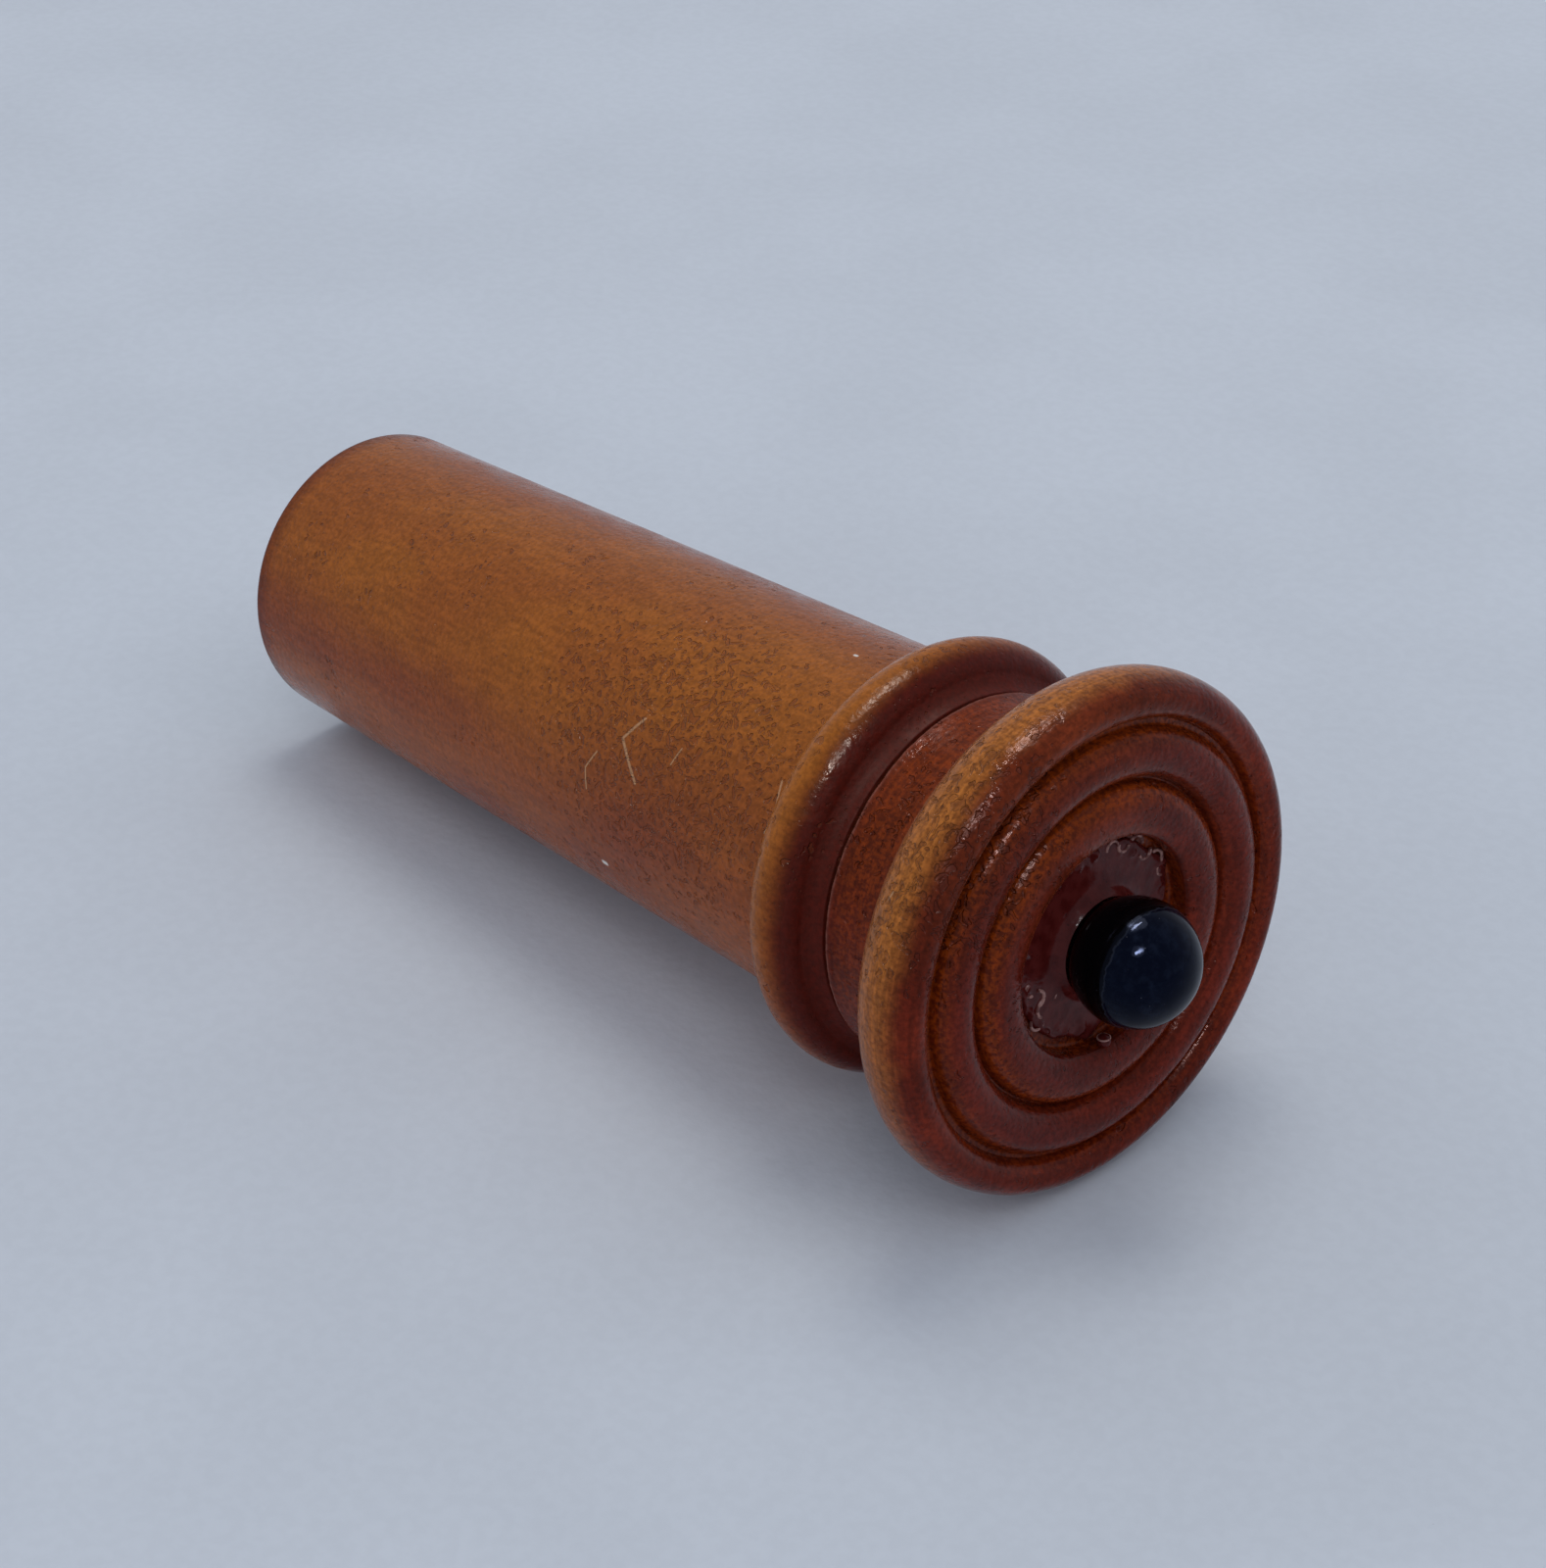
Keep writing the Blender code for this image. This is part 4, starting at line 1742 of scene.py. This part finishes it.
@dataclass
class MirrorCartridge:
    """The card tube with its three mirrors and the stop in front of them."""

    fitting: Fitting
    span: Point = (3.8, 83.6)
    tube: Point = (9.0, 9.6)
    prism_side: float = 14.0
    mirror: Point = (13.6, 1.1)
    end_gap: float = 0.4
    baffle: tuple[float, float, float] = (3.6, 9.5, 0.8)
    baffle_gap: float = 0.3
    ground_edge: float = 0.12

    def build_tube(self, card: bpy.types.Material) -> bpy.types.Object:
        """Roll the card tube, with soft ends.

        Args:
            card: Its finish.

        Returns:
            The piece.
        """
        inner, outer = self.tube
        low, high = self.span
        section = [(inner, low + 0.1), (inner + 0.1, low), (outer - 0.1, low), (outer, low + 0.1)]
        section += line((outer, low + 0.1), (outer, high - 0.1), 16)
        section += [(outer - 0.1, high), (inner + 0.1, high), (inner, high - 0.1)]
        section += line((inner, high - 0.1), (inner, low + 0.1), 16)[:-1]
        work = Lathe(96).turn(section)
        return self.fitting.place(
            work, "card_tube", card, Body.BARREL, Slot.BLACK_CARD, "mirror_tube"
        )

    def build_baffle(self, card: bpy.types.Material) -> bpy.types.Object:
        """Punch the stop that hides the mirrors' ends.

        Args:
            card: Its finish.

        Returns:
            The piece.
        """
        hole, outer, thick = self.baffle
        low = self.span[1] + self.baffle_gap
        section = [
            (hole, low + 0.08),
            (hole + 0.08, low),
            *line((hole + 0.08, low), (outer - 0.08, low), 8),
            (outer, low + 0.08),
            (outer, low + thick - 0.08),
            (outer - 0.08, low + thick),
            *line((outer - 0.08, low + thick), (hole + 0.08, low + thick), 8),
            (hole, low + thick - 0.08),
        ]
        work = Lathe(96).turn(section)
        return self.fitting.place(
            work, "front_stop", card, Body.BARREL, Slot.BAFFLE_CARD, "front_baffle"
        )

    def build_mirror(self, number: int, face: bpy.types.Material, slot: Slot) -> bpy.types.Object:
        """Cut one mirror strip with ground edges and set it in the prism.

        Args:
            number: Which of the three it is, from 1.
            face: Its finish.
            slot: Its material slot.

        Returns:
            The piece.
        """
        width, thick = self.mirror
        low, high = self.span
        length = high - low - 2.0 * self.end_gap
        reach = self.prism_side / (2.0 * math.sqrt(3.0)) + 0.5 * thick
        work = bmesh.new()
        bmesh.ops.create_cube(work, size=1.0)
        bmesh.ops.scale(work, vec=(thick, width, length), verts=work.verts[:])
        round_edges(work, work.edges[:], self.ground_edge)
        middle = (reach, 0.0, 0.5 * (low + high))
        bmesh.ops.translate(work, vec=middle, verts=work.verts[:])
        turn_about(work, work.verts[:], "Z", 120.0 * (number - 1))
        return self.fitting.place(
            work,
            f"mirror_strip_{number}",
            face,
            Body.BARREL,
            slot,
            f"mirror_{number}",
            CRISP_LIMIT,
        )


@dataclass
class TurningFit:
    """The felt band and the wire ring that let the head turn and hold it."""

    fitting: Fitting
    band: tuple[float, float, float, float] = (11.55, 12.3, 65.75, 70.25)
    clip_radius: float = 12.35
    clip_height: float = 73.5
    wire: float = 0.6
    end_rounding: float = 0.18
    opening: float = math.radians(24.0)

    def build_band(self, felt: bpy.types.Material) -> bpy.types.Object:
        """Cut the felt band, with soft rounded edges and a woolly face.

        Args:
            felt: Its finish.

        Returns:
            The piece.
        """
        inner, outer, low, high = self.band
        section = [(inner, low + 0.2), (inner, high - 0.2)]
        section += arc((outer - 0.3, high - 0.3), (0.3, 0.3), 90.0, 0.0, 5)
        section += line((outer, high - 0.3), (outer, low + 0.3), 12)[:-1]
        section += arc((outer - 0.3, low + 0.3), (0.3, 0.3), 0.0, -90.0, 5)
        work = Lathe(160).turn(section)
        for vert in work.verts:
            radius = math.hypot(vert.co.x, vert.co.y)
            if radius > outer - 0.05:
                vert.co.xy *= 1.0 - 0.05 * abs(noise.noise(vert.co * 1.8)) / radius
        return self.fitting.place(work, "felt_ring", felt, Body.HEAD, Slot.FELT, "felt_band")

    def build_clip(self, metal: bpy.types.Material) -> bpy.types.Object:
        """Bend the split wire ring, with rounded wire ends.

        Args:
            metal: Its finish.

        Returns:
            The piece.
        """
        work = bmesh.new()
        made = bmesh.ops.create_circle(work, cap_ends=True, segments=20, radius=self.wire)
        turn_about(work, made["verts"], "X", 90.0)
        out = (self.clip_radius, 0.0, self.clip_height)
        bmesh.ops.translate(work, vec=out, verts=made["verts"])
        bmesh.ops.spin(
            work,
            geom=work.faces[:],
            cent=ORIGIN,
            axis=LONG_AXIS,
            angle=math.tau - self.opening,
            steps=120,
        )
        close_ends(work)
        bmesh.ops.remove_doubles(work, verts=work.verts[:], dist=MERGE_GAP)
        lids = [face for face in work.faces if len(face.verts) > 4]
        rims = list(dict.fromkeys(edge for face in lids for edge in face.edges))
        round_edges(work, rims, self.end_rounding)
        return self.fitting.place(
            work, "wire_ring", metal, Body.BARREL, Slot.SPRING_WIRE, "retaining_ring"
        )


@dataclass
class Studio:
    """The pale table, the soft lights and the camera."""

    target: Vector = field(default_factory=lambda: Vector((0.0, 0.0, 0.018)))
    camera_place: Vector = field(default_factory=lambda: Vector((0.181087, -0.158279, 0.178009)))
    camera_aim: Vector = field(default_factory=lambda: Vector((-0.614573, 0.553208, -0.562371)))
    lens: float = 81.0
    sensor: float = 36.0
    paper: Colour = (0.685, 0.735, 0.79)
    crumb: Colour = (0.10, 0.10, 0.10)
    sky: Colour = (0.455, 0.48, 0.545)
    sky_strength: float = 1.02
    light_distance: float = 0.9
    table_half: float = 30.0
    table_gap: float = 0.00004

    def lay_table(self) -> bpy.types.Object:
        """Lay the pale paper that the toy lies on.

        Returns:
            The sheet.
        """
        work = bmesh.new()
        bmesh.ops.create_grid(work, x_segments=24, y_segments=24, size=self.table_half)
        bmesh.ops.translate(work, vec=(0.0, 0.0, -self.table_gap), verts=work.verts[:])
        mesh = bpy.data.meshes.new("table_paper")
        work.to_mesh(mesh)
        work.free()
        mesh.materials.append(self._paper())
        table = bpy.data.objects.new("table_paper", mesh)
        bpy.context.scene.collection.objects.link(table)
        return table

    def _paper(self) -> bpy.types.Material:
        """The table's soft paper.

        Returns:
            The material.
        """
        bench = Bench("table_paper_finish")
        place = bench.node("ShaderNodeTexCoord").outputs["Object"]
        point = bench.vector("SCALE", place, 1.0 / MM)
        cloud = bench.span(bench.noise(point, 0.03, 4.0), 0.35, 0.65, 0.975, 1.02)
        weave = bench.span(bench.noise(point, 0.8, 3.0), 0.35, 0.65, 0.985, 1.012)
        colour = bench.vector("SCALE", self.paper, bench.product(cloud, weave))
        crumbs = bench.strokes(point, Stroke(13.0, 0.55, 0.18))
        few = bench.product(crumbs, bench.span(bench.noise(point, 0.05), 0.55, 0.60), 0.6)
        colour = bench.blend(few, colour, self.crumb)
        normal = bench.bump(bench.noise(point, 0.9, 3.0), 0.05)
        bench.set(base_color=colour, roughness=0.85, normal=normal)
        return bench.material

    def light(
        self,
        name: str,
        way: Vector,
        size: Point,
        power: float,
        colour: Colour,
        glint: bool = False,
    ) -> None:
        """Hang one soft light over the table.

        Args:
            name: Its name.
            way: The direction from the toy to the light.
            size: How wide its oval face is along X and along Y, in metres.
            power: Its power in watts.
            colour: Its colour.
            glint: Whether it only makes highlights, with no shade of its own.
        """
        data = bpy.data.lights.new(name, "AREA")
        data.shape = "ELLIPSE"
        data.size, data.size_y = size
        data.energy = power
        data.color = colour
        lamp = bpy.data.objects.new(name, data)
        back = way.normalized()
        side = Vector((0.0, 1.0, 0.0)).cross(back).normalized()
        lamp.location = self.target + back * self.light_distance
        lamp.rotation_euler = Matrix((side, back.cross(side), back)).transposed().to_euler()
        lamp.visible_diffuse = not glint
        bpy.context.scene.collection.objects.link(lamp)

    def light_room(self) -> None:
        """Set the grey room light, the two soft lamps and the two glints."""
        world = bpy.data.worlds.new("grey_room")
        world.use_nodes = True
        glow = world.node_tree.nodes["Background"]
        glow.inputs["Color"].default_value = (*self.sky, 1.0)
        glow.inputs["Strength"].default_value = self.sky_strength
        bpy.context.scene.world = world
        white, cool = (1.0, 0.99, 0.97), (0.94, 0.96, 1.0)
        wide, narrow = (0.44, 0.44), (0.30, 0.30)
        self.light("overhead_light", Vector((-0.18, 0.22, 0.96)), wide, 1.32, white)
        self.light("front_light", Vector((0.43, -0.40, 0.80)), narrow, 0.34, cool)
        long, short = (0.07, 0.36), (0.07, 0.24)
        self.light("overhead_glint", Vector((-0.15, 0.13, 0.98)), long, 4.4, white, True)
        self.light("front_glint", Vector((0.46, -0.38, 0.80)), short, 4.0, cool, True)

    def set_camera(self) -> None:
        """Stand the camera in front of the lens end, above the table."""
        data = bpy.data.cameras.new("portrait_camera")
        data.lens = self.lens
        data.sensor_width = self.sensor
        data.clip_start = 0.01
        camera = bpy.data.objects.new("portrait_camera", data)
        camera.location = self.camera_place
        camera.rotation_euler = self.camera_aim.to_track_quat("-Z", "Y").to_euler()
        bpy.context.scene.collection.objects.link(camera)
        bpy.context.scene.camera = camera
        bpy.context.scene.view_settings.view_transform = "Standard"


def on_tube(angle: float, height: float) -> tuple[float, float, float]:
    """A point on the barrel's tapered outside.

    Args:
        angle: Degrees round the long axis.
        height: Height along the axis.

    Returns:
        The upright point in millimetres.
    """
    share = height / (Barrel.bead_centre[1] - Barrel.bead_radius)
    radius = ROUND_FIT * (Barrel.end_radius + share * (Barrel.front_radius - Barrel.end_radius))
    turn = math.radians(angle)
    return (radius * math.cos(turn), radius * math.sin(turn), height)


def barrel_wood() -> StainedWood:
    """The barrel's lighter, warmer stain.

    Returns:
        The finish.
    """
    return StainedWood(
        name="barrel_wood_finish",
        deep=(0.248, 0.051, 0.014),
        body=(0.320, 0.078, 0.015),
        gold=(0.400, 0.122, 0.015),
        crease=(0.250, 0.055, 0.006),
        # Painted shade colour.
        dark=(0.094, 0.006, 0.002),
        pore=(0.210, 0.042, 0.012),
        # Painted highlight colour for the lips.
        lip_highlight=(0.420, 0.230, 0.130),
        gloss=0.20,
        sheen=0.17,
        sheen_tint=(1.0, 0.82, 0.70),
        tool_marks=0.008,
        # The side that faces the lamps, painted lighter as well as given wear.
        rub_and_light_angle=math.radians(-155.0),
        rub_and_light_gold=0.80,
        pore_patch=Vector((-8.6, -12.2, 56.0)),
        pore_reach=17.0,
        pore_least=0.04,
        pore_tone=0.40,
        mottle=0.15,
        ring_tone=0.02,
        hairs=(
            (on_tube(-130.1, 52.6), on_tube(-121.4, 51.1), 0.17),
            (on_tube(-121.4, 51.1), on_tube(-110.4, 53.8), 0.19),
            (on_tube(-113.6, 48.7), on_tube(-106.9, 47.7), 0.11),
            (on_tube(-106.9, 47.7), on_tube(-100.1, 48.1), 0.12),
            (on_tube(-127.0, 57.6), on_tube(-121.2, 57.1), 0.11),
            (on_tube(-132.2, 68.6), on_tube(-124.0, 69.2), 0.12),
            (on_tube(-124.0, 69.2), on_tube(-116.4, 68.9), 0.11),
        ),
        specks=(((4.21, -13.84, 48.95), 0.34), ((-14.83, 0.35, 64.8), 0.20)),
    )


def head_wood() -> StainedWood:
    """The head's deeper red stain.

    Returns:
        The finish.
    """
    return StainedWood(
        name="head_wood_finish",
        deep=(0.100, 0.009, 0.003),
        body=(0.165, 0.018, 0.006),
        gold=(0.430, 0.140, 0.026),
        crease=(0.240, 0.038, 0.003),
        # Painted shade colour, a dim mauve red with a touch of painted sheen.
        dark=(0.105, 0.013, 0.010),
        pore=(0.060, 0.006, 0.003),
        # Painted highlight colour for the lips.
        lip_highlight=(0.300, 0.110, 0.080),
        gloss=0.18,
        sheen=0.15,
        sheen_tint=(1.0, 0.66, 0.60),
        tool_marks=0.022,
        # The side that faces the lamps, painted lighter as well as given wear.
        rub_and_light_angle=math.radians(-160.0),
        rub_and_light_gold=0.10,
        pore_patch=Vector((-14.0, -14.0, 87.0)),
        pore_reach=14.0,
        pore_least=0.10,
        pore_tone=0.28,
        mottle=0.20,
        ring_tone=0.16,
        hairs=(
            ((-11.3, -17.5, 87.6), (-10.4, -18.1, 87.2), 0.14),
            ((-10.4, -18.1, 87.2), (-9.6, -18.6, 87.7), 0.12),
            ((-4.9, -8.6, 91.4), (-4.0, -9.4, 91.6), 0.10),
        ),
    )


CARDS = {
    Slot.EYE_DISC_CARD: FibrousCard(
        "eye_disc_card_finish", (0.016, 0.013, 0.012), (0.05, 0.045, 0.04), 0.62, 0.03
    ),
    Slot.BLACK_CARD: FibrousCard(
        "black_card_finish", (0.012, 0.012, 0.013), (0.035, 0.035, 0.036), 0.80, 0.03
    ),
    Slot.BAFFLE_CARD: FibrousCard(
        "baffle_card_finish", (0.018, 0.018, 0.018), (0.045, 0.045, 0.044), 0.80, 0.03
    ),
    Slot.FELT: FibrousCard("felt_finish", (0.020, 0.026, 0.021), (0.07, 0.085, 0.07), 0.94, 0.08),
}


def main() -> None:
    """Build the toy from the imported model's frame and set it in the studio."""
    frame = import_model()
    placement = Placement.from_joint(frame["joints"][0])
    fitting = Fitting(placement)

    Barrel(fitting).build(barrel_wood().make(placement))
    Head(fitting).build(head_wood().make(placement))
    BallLens(fitting).build(BallGlass().make(placement))
    GlueFilm(fitting).build(ClearGlue().make(placement))

    eyepiece = Eyepiece(fitting)
    eyepiece.build_disc(CARDS[Slot.EYE_DISC_CARD].make(placement))
    eyepiece.build_window(ClearWindow().make(placement))

    cartridge = MirrorCartridge(fitting)
    cartridge.build_tube(CARDS[Slot.BLACK_CARD].make(placement))
    cartridge.build_baffle(CARDS[Slot.BAFFLE_CARD].make(placement))
    for number, slot in enumerate((Slot.MIRROR_1, Slot.MIRROR_2, Slot.MIRROR_3), start=1):
        face = MirrorFace(f"mirror_face_{number}_finish")
        cartridge.build_mirror(number, face.make(placement), slot)

    turning = TurningFit(fitting)
    turning.build_band(CARDS[Slot.FELT].make(placement))
    turning.build_clip(DrawnWire().make(placement))

    studio = Studio()
    studio.lay_table()
    studio.light_room()
    studio.set_camera()


if __name__ == "__main__":
    main()
